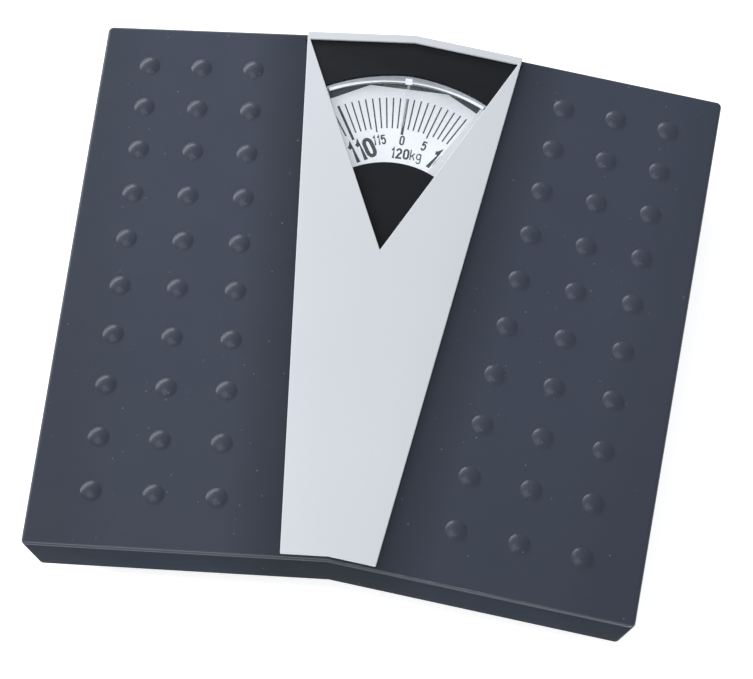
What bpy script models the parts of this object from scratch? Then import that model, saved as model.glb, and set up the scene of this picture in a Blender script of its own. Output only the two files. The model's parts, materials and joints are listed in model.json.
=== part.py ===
# Mechanical bathroom scale: a folded platform on four levers, with a bell crank, rack and turning dial.
# Metres, +Z up, +Y to the back edge where the dial is read, origin on the floor below the middle.
# The platform is folded along a ridge at x = 0, and its front and back edges follow the fold.

import math

import bmesh
import bpy
from mathutils import Vector

# Clearances
GAP = 0.0003
SAME_POINT = 0.000001
PIN_CLEARANCE = 0.0003
SLOT_CLEARANCE = 0.0004
CUT_OVERRUN = 0.001

# Platform shell
PLATE_BACK_WIDTH = 0.300
PLATE_FRONT_WIDTH = 0.2767
RIDGE_LENGTH = 0.2741
RIDGE_HEIGHT = 0.0475
FOLD_SHARE = 0.07
CHEVRON_SHARE = 0.0563
SKIRT_HEIGHT = 0.023
SIDE_LEAN = 0.0055
BACK_LEAN = 0.0055
FRONT_LEAN = 0.0004
SHELL_SHEET = 0.0012
BEND_RADIUS = 0.0022
CORNER_RADIUS = 0.0035
CORNER_STEPS = 2

# Dimples on the wings: columns counted inwards from the side, rows from the back
DIMPLE_COLUMNS = 3
DIMPLE_ROWS = 10
DIMPLE_RADIUS = 0.0054
DIMPLE_RISE = 0.0017
DIMPLE_SIDES = 10
DIMPLE_CROWN_SHARE = 0.62
DIMPLE_CROWN_RISE_SHARE = 0.68
DIMPLE_BACK_MARGIN = 0.02155
DIMPLE_FRONT_MARGIN = 0.0276
DIMPLE_ROW_BOW = 0.0196
DIMPLE_BACK_SIDE_MARGIN = 0.02417
DIMPLE_FRONT_SIDE_MARGIN = 0.02674
DIMPLE_BACK_STRIP_MARGIN = 0.0229
DIMPLE_FRONT_STRIP_MARGIN = 0.0328

# Centre strip and its window
STRIP_BACK_WIDTH = 0.10475
STRIP_FRONT_WIDTH = 0.04295
STRIP_SHEET = 0.0012
STRIP_BACK_OVERHANG = 0.00055
STRIP_FRONT_MARGIN = 0.002
STRIP_EDGE_BEVEL = 0.0003
WINDOW_WIDTH = 0.1012
WINDOW_BACK_MARGIN = 0.00355
WINDOW_LENGTH = 0.1138
SHELL_CUT_SIDE_MARGIN = 0.002
SHELL_CUT_BACK_MARGIN = 0.0003

# Dial
DIAL_CENTRE_TO_BACK = 0.09217
DIAL_CORNER_RADIUS = 0.0749
DIAL_SHEET = 0.0008
DIAL_DEPTH = 0.0125
DIAL_SIDES = 12
DIAL_BORE_RADIUS = 0.003
HUB_RADIUS = 0.008
HUB_FLANGE = 0.001
HUB_BOSS_RADIUS = 0.0026
HUB_BOSS_RISE = 0.0011
HUB_HEAD_RADIUS = 0.0045
HUB_HEAD = 0.0006
SPINDLE_RADIUS = 0.0012
PINION_TEETH = 8
TOOTH_MODULE = 0.0005
TOOTH_ADDENDUM = 0.00044
TOOTH_DEDENDUM = 0.00064
TOOTH_WIDTH = 0.00061
PRESSURE_ANGLE = 20.0
PINION_LENGTH = 0.0024

# Mask and lens
MASK_SHEET = 0.0015
MASK_FLANGE = 0.0024
MASK_BACK_FLANGE = 0.0006
COLLAR_WALL = 0.0012
MASK_LEDGE = 0.0004
MASK_UNDERCUT = 0.0004
MASK_OUTER_RADIUS = 0.0850
SECTOR_RADIUS = 0.0393
WINDOW_ARCS_FORWARD = 0.0137
ARC_STEPS = 21
LENS_SHEET = 0.0015
LENS_LIP = 0.0018
LENS_RIM_WIDTH = 0.0009
LENS_RIM_DROP = 0.0008
POINTER_WIDTH = 0.0013
POINTER_RISE = 0.0007
POINTER_REACH = 0.0235

# Levers
FULCRUM_SIDE_MARGIN = 0.02635
FULCRUM_END_MARGIN = 0.03205
LEVER_AXIS_HEIGHT = 0.024
LOAD_ARM = 0.020
PLATFORM_TRAVEL = 0.001
LEVER_WIDTH = 0.008
LEVER_HEIGHT = 0.008
LEVER_SHEET = 0.0012
LEVER_TAIL = 0.006
LEVER_STRAIGHT = 0.005
LONG_LEVER_END_X = 0.030
LONG_LEVER_PAST_NOSE = 0.006
SHORT_LEVER_SPACING = 0.0112
SHORT_LEVER_PAST_LINK = 0.004
KNIFE_RADIUS = 0.0018
KNIFE_LENGTH = 0.0235
LINK_STRAP_LENGTH = 0.0215
LINK_STRAP_WIDTH = 0.005
LINK_STRAP_SHEET = 0.0015
LINK_STRAP_GAP = 0.0005

# Nose plate across the long levers
NOSE_BEHIND_DIAL = 0.0395
NOSE_LENGTH = 0.010
NOSE_SHEET = 0.0012
NOSE_HALF_SPAN = 0.040
NOSE_SHOULDER_X = 0.0235
NOSE_DROP_X = 0.019
NOSE_DROP = 0.0066

# Brackets on the corners
EAR_OFFSET = 0.0086
EAR_SHEET = 0.0015
BRACKET_BASE_SHEET = 0.0012
FULCRUM_BRACKET_LENGTH = 0.013
FULCRUM_EAR_RISE = 0.003
NOTCH_HALF_WIDTH = 0.0023
NOTCH_DEPTH = 0.0021
LOAD_BRACKET_LENGTH = 0.013
LOAD_LEG_DROP = 0.003
BRACKET_CORNER_CUT = 0.002

# Bell crank
MECHANISM_X = -0.0044
CRANK_SHEET = 0.0015
CRANK_PIVOT_HEIGHT = 0.0152
CRANK_RISE = 0.0145
CRANK_HUB_RADIUS = 0.0034
CRANK_TOE_RADIUS = 0.0014
CRANK_KNEE_RADIUS = 0.00135
CRANK_KNEE_REACH = 0.0027
CRANK_KNEE_DROP = 0.00505
CRANK_TIP_RADIUS = 0.0008
CRANK_NECK_RADIUS = 0.0024
CRANK_HOOK_RISE = 0.0095
HOOK_HOLE_RADIUS = 0.0013
CRANK_PIN_RADIUS = 0.0015
CRANK_PIN_LENGTH = 0.0105
CRANK_EAR_OFFSET = 0.0035
CRANK_EAR_SHEET = 0.0012
CRANK_EAR_LENGTH = 0.009
CRANK_EAR_RISE = 0.004

# Rack
RACK_SHEET = 0.0018
RACK_BACK_WIDTH = 0.0036
RACK_TEETH = 16
RACK_FRONT_MARGIN = 0.0025
RACK_TAIL = 0.0029
RACK_SLOT_HALF_LENGTH = 0.0019
RACK_HEIGHT = 0.0282

# Dial bridge, pivot post and rack guide
BRIDGE_SHEET = 0.0012
BRIDGE_WIDTH = 0.018
BRIDGE_TOP = 0.0326
BRIDGE_FRONT_REACH = 0.0265
BRIDGE_BACK_REACH = 0.030
BRIDGE_FOOT = 0.009
POST_RADIUS = 0.0032
POST_CUP_DEPTH = 0.0012
POST_FLANGE_RADIUS = 0.006
POST_FLANGE = 0.0015
GUIDE_LENGTH = 0.012
GUIDE_SHEET = 0.0012
GUIDE_LIP = 0.0022
GUIDE_FLANGE = 0.0024

# Main spring, anchor and zero adjustment
MAIN_WIRE_RADIUS = 0.0008
MAIN_COIL_RADIUS = 0.0042
MAIN_PITCH = 0.00215
MAIN_TURNS = 5
MAIN_COIL_LEAD = 0.00565
SPRING_HOOK_REACH = 0.0034
SCREW_RADIUS = 0.002
SCREW_TONGUE_HALF = 0.0008
SCREW_TONGUE_LENGTH = 0.005
SCREW_EYE_MARGIN = 0.00747
SCREW_END_REACH = 0.0039
ANCHOR_SHEET = 0.0015
ANCHOR_HALF_WIDTH = 0.009
ANCHOR_FOOT = 0.0085
ANCHOR_RISE = 0.0055
WHEEL_RADIUS = 0.0085
WHEEL_THICKNESS = 0.0034
WHEEL_KNURLS = 24
WHEEL_KNURL_DEPTH = 0.0006
WHEEL_HUB_RADIUS = 0.0042
WHEEL_DISH = 0.0008

# Base pan and feet
PAN_INSET = 0.012
PAN_DRAFT = 0.0012
PAN_BEND = 0.002
PAN_SHEET = 0.001
PAN_UNDERSIDE = 0.006
PAN_RIM_OVERLAP = 0.0035
PAN_CORNER_RADIUS = 0.008
BEAD_WIDTH = 0.012
BEAD_RISE = 0.0016
BEAD_SLOPE = 0.0016
BEAD_END_STEPS = 4
SIDE_BEAD_INSET = 0.014
SIDE_BEAD_END_MARGIN = 0.043
FRONT_BEAD_X = 0.034
FRONT_BEAD_START_MARGIN = 0.0215
FRONT_BEAD_END_MARGIN = 0.035
FOOT_RADIUS = 0.0125
FOOT_CHAMFER = 0.0012
FOOT_RECESS = 0.0008
FOOT_RECESS_RADIUS = 0.0055
FOOT_SIDES = 28

# Hold-down springs at the two sides
HOLD_SIDE_MARGIN = 0.0222
HOLD_WIRE_RADIUS = 0.00045
HOLD_COIL_RADIUS = 0.003
HOLD_PITCH = 0.00155
HOLD_TURNS = 8
HOLD_PLATE_SHEET = 0.0012
HOLD_PLATE_HALF_WIDTH = 0.0045
HOLD_PLATE_FOOT = 0.008
HOLD_PLATE_REACH = 0.0065
HOLD_HOLE_RADIUS = 0.0009
HOLD_HOLE_MARGIN = 0.0022

POINTS_PER_TURN = 10
ROUND_SIDES = 16
SHARP_ANGLE = 35.0


# Places that follow from the sizes above

OVERALL_LENGTH = STRIP_BACK_OVERHANG + RIDGE_LENGTH + CHEVRON_SHARE * PLATE_FRONT_WIDTH / 2
BACK_Y = OVERALL_LENGTH / 2 - STRIP_BACK_OVERHANG
FRONT_Y = BACK_Y - RIDGE_LENGTH
SHELL_UNDERSIDE = RIDGE_HEIGHT - SHELL_SHEET
WINDOW_BACK_Y = BACK_Y - WINDOW_BACK_MARGIN
WINDOW_APEX_Y = WINDOW_BACK_Y - WINDOW_LENGTH
DIAL_Y = BACK_Y - DIAL_CENTRE_TO_BACK
DIAL_TOP = RIDGE_HEIGHT - DIAL_DEPTH
DIAL_UNDERSIDE = DIAL_TOP - DIAL_SHEET
WINDOW_SPREAD = WINDOW_WIDTH / 2 / (WINDOW_LENGTH - CHEVRON_SHARE * WINDOW_WIDTH / 2)
MASK_REACH = (SHELL_CUT_SIDE_MARGIN + MASK_FLANGE) * math.hypot(1, WINDOW_SPREAD)
MASK_CORNER_X = WINDOW_WIDTH / 2 + MASK_REACH + MASK_FLANGE * WINDOW_SPREAD
MASK_TOP = SHELL_UNDERSIDE - FOLD_SHARE * MASK_CORNER_X - GAP
MASK_UNDERSIDE = MASK_TOP - MASK_SHEET
LENS_TOP = MASK_UNDERSIDE - GAP
LENS_UNDERSIDE = LENS_TOP - LENS_SHEET
FULCRUM_X = min(PLATE_BACK_WIDTH, PLATE_FRONT_WIDTH) / 2 - FULCRUM_SIDE_MARGIN
FULCRUM_Y = RIDGE_LENGTH / 2 - FULCRUM_END_MARGIN
HOLD_X = (PLATE_BACK_WIDTH + PLATE_FRONT_WIDTH) / 4 - HOLD_SIDE_MARGIN
NOSE_Y = DIAL_Y + NOSE_BEHIND_DIAL
LEVER_BEND_Y = FULCRUM_Y - LOAD_ARM - LEVER_STRAIGHT
LONG_LEVER_END_Y = NOSE_Y + LONG_LEVER_PAST_NOSE
LINK_SHARE = LEVER_BEND_Y / (LONG_LEVER_END_Y + LEVER_BEND_Y)
LONG_LEVER_LINK_X = FULCRUM_X + (LONG_LEVER_END_X - FULCRUM_X) * LINK_SHARE
SHORT_LEVER_END_X = LONG_LEVER_LINK_X + SHORT_LEVER_SPACING
BRIDGE_FRONT_LEG_Y = DIAL_Y - BRIDGE_FRONT_REACH
BRIDGE_BACK_LEG_Y = DIAL_Y + BRIDGE_BACK_REACH
PINION_RADIUS = TOOTH_MODULE * PINION_TEETH / 2
RACK_TRAVEL = 2 * math.pi * PINION_RADIUS
LEVER_SWING = PLATFORM_TRAVEL / LOAD_ARM
NOSE_TRAVEL = LEVER_SWING * (NOSE_Y + FULCRUM_Y)
CRANK_LEAN = math.asin(RACK_TRAVEL / 2 / CRANK_RISE)
CRANK_TOE_REACH = NOSE_TRAVEL / 2 / math.sin(CRANK_LEAN)
CRANK_Y = NOSE_Y + CRANK_TOE_REACH * math.cos(CRANK_LEAN)
CRANK_TIP_Y = CRANK_Y + CRANK_RISE * math.sin(CRANK_LEAN)
SPRING_HOOK_Y = CRANK_Y + CRANK_HOOK_RISE * math.sin(CRANK_LEAN)
SPRING_HEIGHT = CRANK_PIVOT_HEIGHT + CRANK_HOOK_RISE * math.cos(CRANK_LEAN)
LEVER_TOP = LEVER_AXIS_HEIGHT + LEVER_HEIGHT / 2
LEVER_BOTTOM = LEVER_AXIS_HEIGHT - LEVER_HEIGHT / 2
PAN_FLOOR = PAN_UNDERSIDE + PAN_SHEET
SEAT = PAN_FLOOR + GAP
EDGE_LEANS = (BACK_LEAN, SIDE_LEAN, FRONT_LEAN, FRONT_LEAN, SIDE_LEAN, BACK_LEAN)
PAN_BACK_FACE = BACK_Y - PAN_INSET
MAIN_COIL_START_Y = SPRING_HOOK_Y + MAIN_COIL_LEAD
SCREW_EYE_Y = PAN_BACK_FACE - SCREW_EYE_MARGIN
SCREW_END_Y = PAN_BACK_FACE + SCREW_END_REACH
SIDE_BEAD_X = FULCRUM_X - SIDE_BEAD_INSET
SIDE_BEAD_HALF_LENGTH = FULCRUM_Y - SIDE_BEAD_END_MARGIN
FRONT_BEAD_START_Y = FRONT_Y + FRONT_BEAD_START_MARGIN
FRONT_BEAD_END_Y = BRIDGE_FRONT_LEG_Y - BRIDGE_FOOT - FRONT_BEAD_END_MARGIN


def clear_scene():
    for existing in list(bpy.data.objects):
        bpy.data.objects.remove(existing)


def painted(name, colour, roughness, metallic):
    """A Principled material with one colour, roughness and metallic value."""
    material = bpy.data.materials.new(name)
    material.use_nodes = True
    shader = material.node_tree.nodes["Principled BSDF"]
    shader.inputs["Base Color"].default_value = (*colour, 1)
    shader.inputs["Roughness"].default_value = roughness
    shader.inputs["Metallic"].default_value = metallic
    return material


def slate_paint():
    return painted("slate_paint", (0.075, 0.086, 0.115), 0.45, 0.1)


def silver_paint():
    return painted("silver_paint", (0.72, 0.74, 0.78), 0.38, 0.35)


def black_plastic():
    return painted("black_plastic", (0.02, 0.021, 0.024), 0.5, 0.0)


def clear_plastic():
    return painted("clear_plastic", (0.85, 0.88, 0.9), 0.05, 0.0)


def dial_white():
    return painted("dial_white", (0.88, 0.9, 0.93), 0.5, 0.0)


def zinc_steel():
    return painted("zinc_steel", (0.62, 0.62, 0.6), 0.35, 0.9)


def pan_enamel():
    return painted("pan_enamel", (0.12, 0.125, 0.14), 0.5, 0.2)


def spring_steel():
    return painted("spring_steel", (0.45, 0.46, 0.48), 0.3, 1.0)


def brass():
    return painted("brass", (0.7, 0.52, 0.24), 0.3, 1.0)


def foot_rubber():
    return painted("foot_rubber", (0.03, 0.03, 0.032), 0.8, 0.0)


def joint_pivot(name, place):
    """An empty on a joint's axis, which the pieces of that body hang from."""
    pivot = bpy.data.objects.new(name, None)
    pivot.location = place
    bpy.context.collection.objects.link(pivot)
    return pivot


def finish_piece(name, bm, material, pivot, smooth=False):
    """Writes a mesh built in world places as an object whose origin is its body's pivot."""
    bmesh.ops.recalc_face_normals(bm, faces=bm.faces)
    mesh = bpy.data.meshes.new(name)
    bmesh.ops.translate(bm, verts=bm.verts, vec=-Vector(pivot.location))
    bm.to_mesh(mesh)
    bm.free()
    piece = bpy.data.objects.new(name, mesh)
    bpy.context.collection.objects.link(piece)
    piece.parent = pivot
    mesh.materials.append(material)
    if smooth:
        mesh.shade_smooth()
        mesh.set_sharp_from_angle(angle=math.radians(SHARP_ANGLE))
    return piece


def combine(piece, tool_mesh, operation):
    """Joins a second solid to the piece, or cuts it out, with an exact Boolean."""
    name = f"{piece.name}_{operation.lower()}_{len(piece.modifiers)}"
    material = piece.data.materials[0]
    tool = finish_piece(name, tool_mesh, material, piece.parent)
    tool.hide_render = True
    tool.display_type = "WIRE"
    modifier = piece.modifiers.new(name, "BOOLEAN")
    modifier.operation = operation
    modifier.object = tool
    modifier.solver = "EXACT"
    return tool


def cut(piece, tool_mesh):
    return combine(piece, tool_mesh, "DIFFERENCE")


def join(piece, tool_mesh):
    return combine(piece, tool_mesh, "UNION")


# Plane geometry


def inset_corners(corners, insets):
    """Moves each edge of an anticlockwise outline inwards by its own inset, and returns the new corners."""
    lines = []
    for start, end, inset in zip(corners, corners[1:] + corners[:1], insets):
        along = (Vector(end) - Vector(start)).normalized()
        inwards = Vector((-along.y, along.x))
        lines.append((Vector(start) + inwards * inset, along))
    moved = []
    for index, (point, along) in enumerate(lines):
        before, before_along = lines[index - 1]
        cross = before_along.x * along.y - before_along.y * along.x
        offset = point - before
        reach = (offset.x * along.y - offset.y * along.x) / cross
        moved.append(tuple(before + before_along * reach))
    return moved


def rounded(corners, radii, steps):
    """Replaces each corner that has a radius by an arc of steps + 1 points."""
    points = []
    for index, (corner, radius) in enumerate(zip(corners, radii)):
        if radius == 0:
            points.append(tuple(corner))
            continue
        tip = Vector(corner)
        back = (Vector(corners[index - 1]) - tip).normalized()
        ahead = (Vector(corners[(index + 1) % len(corners)]) - tip).normalized()
        half = back.angle(ahead) / 2
        centre = tip + (back + ahead).normalized() * (radius / math.sin(half))
        first = tip + back * (radius / math.tan(half)) - centre
        last = tip + ahead * (radius / math.tan(half)) - centre
        turn = first.angle_signed(last)
        for step in range(steps + 1):
            angle = -turn * step / steps
            spun = Vector(
                (
                    first.x * math.cos(angle) - first.y * math.sin(angle),
                    first.x * math.sin(angle) + first.y * math.cos(angle),
                )
            )
            points.append(tuple(centre + spun))
    return points


def circle(centre, radius, sides, start=0):
    turns = [start + 2 * math.pi * index / sides for index in range(sides)]
    return [(centre[0] + radius * math.cos(turn), centre[1] + radius * math.sin(turn)) for turn in turns]


def capsule(first, first_radius, last, last_radius, steps=6):
    """The outline round two circles, the shape of a link or a crank's arm."""
    along = Vector(last) - Vector(first)
    heading = math.atan2(along.y, along.x)
    side = math.acos((first_radius - last_radius) / along.length)
    points = []
    for step in range(steps + 1):
        turn = heading + side + (2 * math.pi - 2 * side) * step / steps
        points.append((first[0] + first_radius * math.cos(turn), first[1] + first_radius * math.sin(turn)))
    for step in range(steps + 1):
        turn = heading - side + 2 * side * step / steps
        points.append((last[0] + last_radius * math.cos(turn), last[1] + last_radius * math.sin(turn)))
    return points


def strip_outline(centre_line, thickness):
    """The closed outline of a bent strip of even thickness that follows a centre line."""
    sides = []
    for side in (thickness / 2, -thickness / 2):
        offset_line = []
        for index, point in enumerate(centre_line):
            before = Vector(centre_line[max(index - 1, 0)])
            after = Vector(centre_line[min(index + 1, len(centre_line) - 1)])
            here = Vector(point)
            incoming = (here - before).normalized() if index else (after - here).normalized()
            outgoing = (after - here).normalized() if index < len(centre_line) - 1 else incoming
            middle = (incoming + outgoing).normalized()
            normal = Vector((-middle.y, middle.x))
            offset_line.append(tuple(here + normal * (side / normal.dot(Vector((-incoming.y, incoming.x))))))
        sides.append(offset_line)
    return sides[0] + sides[1][::-1]


def box_outline(low_x, low_y, high_x, high_y):
    return [(low_x, low_y), (high_x, low_y), (high_x, high_y), (low_x, high_y)]


# Solids


def height_at(level, point):
    return level(point) if callable(level) else level


def prism(outline, low, high, axis="Z"):
    """A straight solid on an outline. Along Z, low and high may be functions of the outline's point."""
    place = {
        "X": lambda point, level: (level, point[0], point[1]),
        "Y": lambda point, level: (point[0], level, point[1]),
        "Z": lambda point, level: (point[0], point[1], level),
    }[axis]
    bm = bmesh.new()
    rings = []
    for level in (low, high):
        rings.append([bm.verts.new(place(point, height_at(level, point))) for point in outline])
    bm.faces.new(rings[0][::-1])
    bm.faces.new(rings[1])
    connect(bm, rings[0], rings[1])
    return bm


def folded_prism(outline, low, above_fold):
    """An upright solid whose top follows the platform's fold, with an edge along the ridge."""
    bm = prism(outline, low, lambda point: fold_height(point[0]) + above_fold)
    parts = [*bm.verts, *bm.edges, *bm.faces]
    bmesh.ops.bisect_plane(bm, geom=parts, dist=SAME_POINT, plane_co=(0, 0, 0), plane_no=(1, 0, 0))
    for vert in bm.verts:
        if abs(vert.co.x) < SAME_POINT:
            vert.co.x = 0
    return bm


def connect(bm, first, second):
    for index in range(len(first)):
        after = (index + 1) % len(first)
        bm.faces.new((first[index], first[after], second[after], second[index]))


def revolve(profile, centre, axis="Z", sides=ROUND_SIDES, closed=False):
    """Turns a profile of (radius, height) points round an axis. A closed profile makes a ring."""
    bm = bmesh.new()
    rings = []
    for radius, along in profile:
        turns = range(1) if radius == 0 else range(sides)
        ring = []
        for index in turns:
            angle = 2 * math.pi * index / sides
            across, up = radius * math.cos(angle), radius * math.sin(angle)
            if axis == "Z":
                spot = (centre[0] + across, centre[1] + up, centre[2] + along)
            elif axis == "Y":
                spot = (centre[0] + across, centre[1] + along, centre[2] + up)
            else:
                spot = (centre[0] + along, centre[1] + across, centre[2] + up)
            ring.append(bm.verts.new(spot))
        rings.append(ring)
    pairs = list(zip(rings, rings[1:]))
    if closed:
        pairs.append((rings[-1], rings[0]))
    for first, second in pairs:
        if len(first) == 1 or len(second) == 1:
            pole, ring = (first[0], second) if len(first) == 1 else (second[0], first)
            for index in range(sides):
                bm.faces.new((pole, ring[index], ring[(index + 1) % sides]))
        else:
            connect(bm, first, second)
    return bm


def cylinder(centre, radius, length, axis="Z", sides=ROUND_SIDES):
    """A round bar that starts at the centre given and runs along the axis."""
    return revolve([(0, 0), (radius, 0), (radius, length), (0, length)], centre, axis, sides)


def sweep(path, section):
    """Sweeps a section of (across, height) points along a path in plan, with mitred corners."""
    bm = bmesh.new()
    rings = []
    for index, point in enumerate(path):
        here = Vector(point)
        incoming = (here - Vector(path[index - 1])).normalized() if index else None
        outgoing = (Vector(path[index + 1]) - here).normalized() if index < len(path) - 1 else incoming
        incoming = incoming or outgoing
        middle = (incoming + outgoing).normalized()
        across = Vector((middle.y, -middle.x)) / middle.dot(incoming)
        ring = []
        for offset, height in section:
            spot = here + across * offset
            ring.append(bm.verts.new((spot.x, spot.y, height)))
        rings.append(ring)
    for first, second in zip(rings, rings[1:]):
        connect(bm, first, second)
    bm.faces.new(rings[0])
    bm.faces.new(rings[-1][::-1])
    return bm


def tube(name, points, wire_radius, material, pivot):
    """A round wire along its points, in world places, as a curve with filled caps."""
    curve = bpy.data.curves.new(name, "CURVE")
    curve.dimensions = "3D"
    curve.bevel_depth = wire_radius
    curve.bevel_resolution = 1
    curve.use_fill_caps = True
    spline = curve.splines.new("POLY")
    spline.points.add(len(points) - 1)
    origin = Vector(pivot.location)
    for target, point in zip(spline.points, points):
        target.co = (*(Vector(point) - origin), 1)
    wire = bpy.data.objects.new(name, curve)
    curve.materials.append(material)
    bpy.context.collection.objects.link(wire)
    wire.parent = pivot
    return wire


def report_least_gap(name, points, wire_radius):
    """Prints the smallest space between stretches of a wound wire that aren't neighbours along it."""
    spots = [Vector(point) for point in points]
    least = math.inf
    for first in range(len(spots)):
        for second in range(first + POINTS_PER_TURN // 2, len(spots)):
            least = min(least, (spots[first] - spots[second]).length)
    print(name, "least gap to itself, mm:", round((least - 2 * wire_radius) * 1000, 3))


# Heights of the folded platform


def fold_height(x):
    return RIDGE_HEIGHT - FOLD_SHARE * abs(x)


def under_shell(x):
    return fold_height(x) - SHELL_SHEET


def set_back(x):
    """How far the front and back edges fall behind the ridge at this distance from it."""
    return -CHEVRON_SHARE * abs(x)


def plan_corner(half_width, y):
    return (half_width, y + set_back(half_width))


def platform_corners():
    back_half, front_half = PLATE_BACK_WIDTH / 2, PLATE_FRONT_WIDTH / 2
    return [
        (0, BACK_Y),
        plan_corner(-back_half, BACK_Y),
        plan_corner(-front_half, FRONT_Y),
        (0, FRONT_Y),
        plan_corner(front_half, FRONT_Y),
        plan_corner(back_half, BACK_Y),
    ]


def window_corners(side_margin=0, back_margin=0):
    """The window's four corners, moved outwards by the margins."""
    corners = [
        (0, WINDOW_BACK_Y),
        plan_corner(-WINDOW_WIDTH / 2, WINDOW_BACK_Y),
        (0, WINDOW_APEX_Y),
        plan_corner(WINDOW_WIDTH / 2, WINDOW_BACK_Y),
    ]
    return inset_corners(corners, (-back_margin, -side_margin, -side_margin, -back_margin))


def corner_radii(radius):
    return (0, radius, radius, 0, radius, radius)


# Pressed sheets


def add_ring(bm, points):
    return [bm.verts.new(point) for point in points]


def close_sheet(bm, outer, inner):
    """Adds the sheet's other surface, one point for each of the first, and the walls at its open edges."""
    faces = list(bm.faces)
    boundary = [edge for edge in bm.edges if edge.is_boundary]
    partner = dict(zip(outer, add_ring(bm, inner)))
    for face in faces:
        bm.faces.new([partner[corner] for corner in reversed(face.verts)])
    for edge in boundary:
        start, end = edge.verts
        bm.faces.new((start, end, partner[end], partner[start]))


def ring_edges(bm, ring, closed=True):
    ends = ring[1:] + ring[:1] if closed else ring[1:]
    found = []
    for start, end in zip(ring, ends):
        found.append(bm.edges.get((start, end)) or bm.edges.new((start, end)))
    return found


def add_boss(bm, outlines):
    """A pressed boss: rings that step up from the sheet, closed by a flat or pointed top."""
    rings = [add_ring(bm, outline) for outline in outlines]
    for first, second in zip(rings, rings[1:]):
        if len(second) == 1:
            for index in range(len(first)):
                bm.faces.new((first[index], first[(index + 1) % len(first)], second[0]))
        else:
            connect(bm, first, second)
    if len(rings[-1]) > 1:
        bm.faces.new(rings[-1])
    return ring_edges(bm, rings[0])


def lifted(verts, rise):
    """Places straight above the vertices given, or below them for a negative rise."""
    return [vert.co + Vector((0, 0, rise)) for vert in verts]


def fill_sheet(bm, edges):
    bmesh.ops.triangle_fill(bm, use_beauty=True, use_dissolve=False, edges=edges, normal=(0, 0, 1))


def dimple_rings(x, y):
    """Rings of one domed dimple on the folded surface."""
    rings = []
    for radius_share, rise_share in ((1, 0), (DIMPLE_CROWN_SHARE, DIMPLE_CROWN_RISE_SHARE)):
        ring = []
        for spot in circle((x, y), DIMPLE_RADIUS * radius_share, DIMPLE_SIDES):
            ring.append((*spot, fold_height(spot[0]) + DIMPLE_RISE * rise_share))
        rings.append(ring)
    rings.append([(x, y, fold_height(x) + DIMPLE_RISE)])
    return rings


def between(first, last, share):
    return first + (last - first) * share


def dimple_places():
    """Places on one wing: the columns fan out, and the rows run with the back edge and open towards the front."""
    outer_back = PLATE_BACK_WIDTH / 2 - DIMPLE_BACK_SIDE_MARGIN
    outer_front = PLATE_FRONT_WIDTH / 2 - DIMPLE_FRONT_SIDE_MARGIN
    inner_back = STRIP_BACK_WIDTH / 2 + DIMPLE_BACK_STRIP_MARGIN
    inner_front = STRIP_FRONT_WIDTH / 2 + DIMPLE_FRONT_STRIP_MARGIN
    places = []
    for row in range(DIMPLE_ROWS):
        along = row / (DIMPLE_ROWS - 1)
        y = between(BACK_Y - DIMPLE_BACK_MARGIN, FRONT_Y + DIMPLE_FRONT_MARGIN, along)
        y += DIMPLE_ROW_BOW * along * (1 - along)
        outer = between(outer_back, outer_front, along)
        inner = between(inner_back, inner_front, along)
        for column in range(DIMPLE_COLUMNS):
            x = between(outer, inner, column / (DIMPLE_COLUMNS - 1))
            places.append((x, y + set_back(x)))
    return places


def shell_rings(depth):
    """Rings from the top's edge to the foot of the skirt, on the surface that lies this deep in the sheet."""
    bend = BEND_RADIUS - depth
    half_turn = BEND_RADIUS - bend * math.cos(math.pi / 4)
    steps = [
        ([BEND_RADIUS] * 6, depth, CORNER_RADIUS - BEND_RADIUS),
        ([half_turn] * 6, half_turn, CORNER_RADIUS - half_turn),
        ([depth] * 6, BEND_RADIUS, CORNER_RADIUS - depth),
        ([lean + depth for lean in EDGE_LEANS], SKIRT_HEIGHT, CORNER_RADIUS - depth),
    ]
    rings = []
    for insets, drop, radius in steps:
        corners = inset_corners(platform_corners(), insets)
        plan = rounded(corners, corner_radii(radius), CORNER_STEPS)
        rings.append([(x, y, fold_height(x) - drop) for x, y in plan])
    return rings


def platform_shell(pivot):
    bm = bmesh.new()
    rings = [add_ring(bm, ring) for ring in shell_rings(0)]
    for first, second in zip(rings, rings[1:]):
        connect(bm, first, second)
    top = rings[0]
    front = 1 + 2 * (CORNER_STEPS + 1)
    window = window_corners(SHELL_CUT_SIDE_MARGIN, SHELL_CUT_BACK_MARGIN)
    opening = add_ring(bm, [(x, y, fold_height(x)) for x, y in window])
    wings = {
        -1: [*top[: front + 1], opening[2], opening[1], opening[0]],
        1: [top[0], opening[0], opening[3], opening[2], *top[front:]],
    }
    for side, outline in wings.items():
        edges = ring_edges(bm, outline)
        for x, y in dimple_places():
            edges += add_boss(bm, dimple_rings(side * x, y))
        fill_sheet(bm, edges)
    skirt = [vert for ring in rings for vert in ring]
    wing = [vert for vert in bm.verts if vert not in set(skirt)]
    inner_skirt = [place for ring in shell_rings(SHELL_SHEET) for place in ring]
    close_sheet(bm, skirt + wing, inner_skirt + lifted(wing, -SHELL_SHEET))
    return finish_piece("platform_shell", bm, slate_paint(), pivot, smooth=True)


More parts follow.
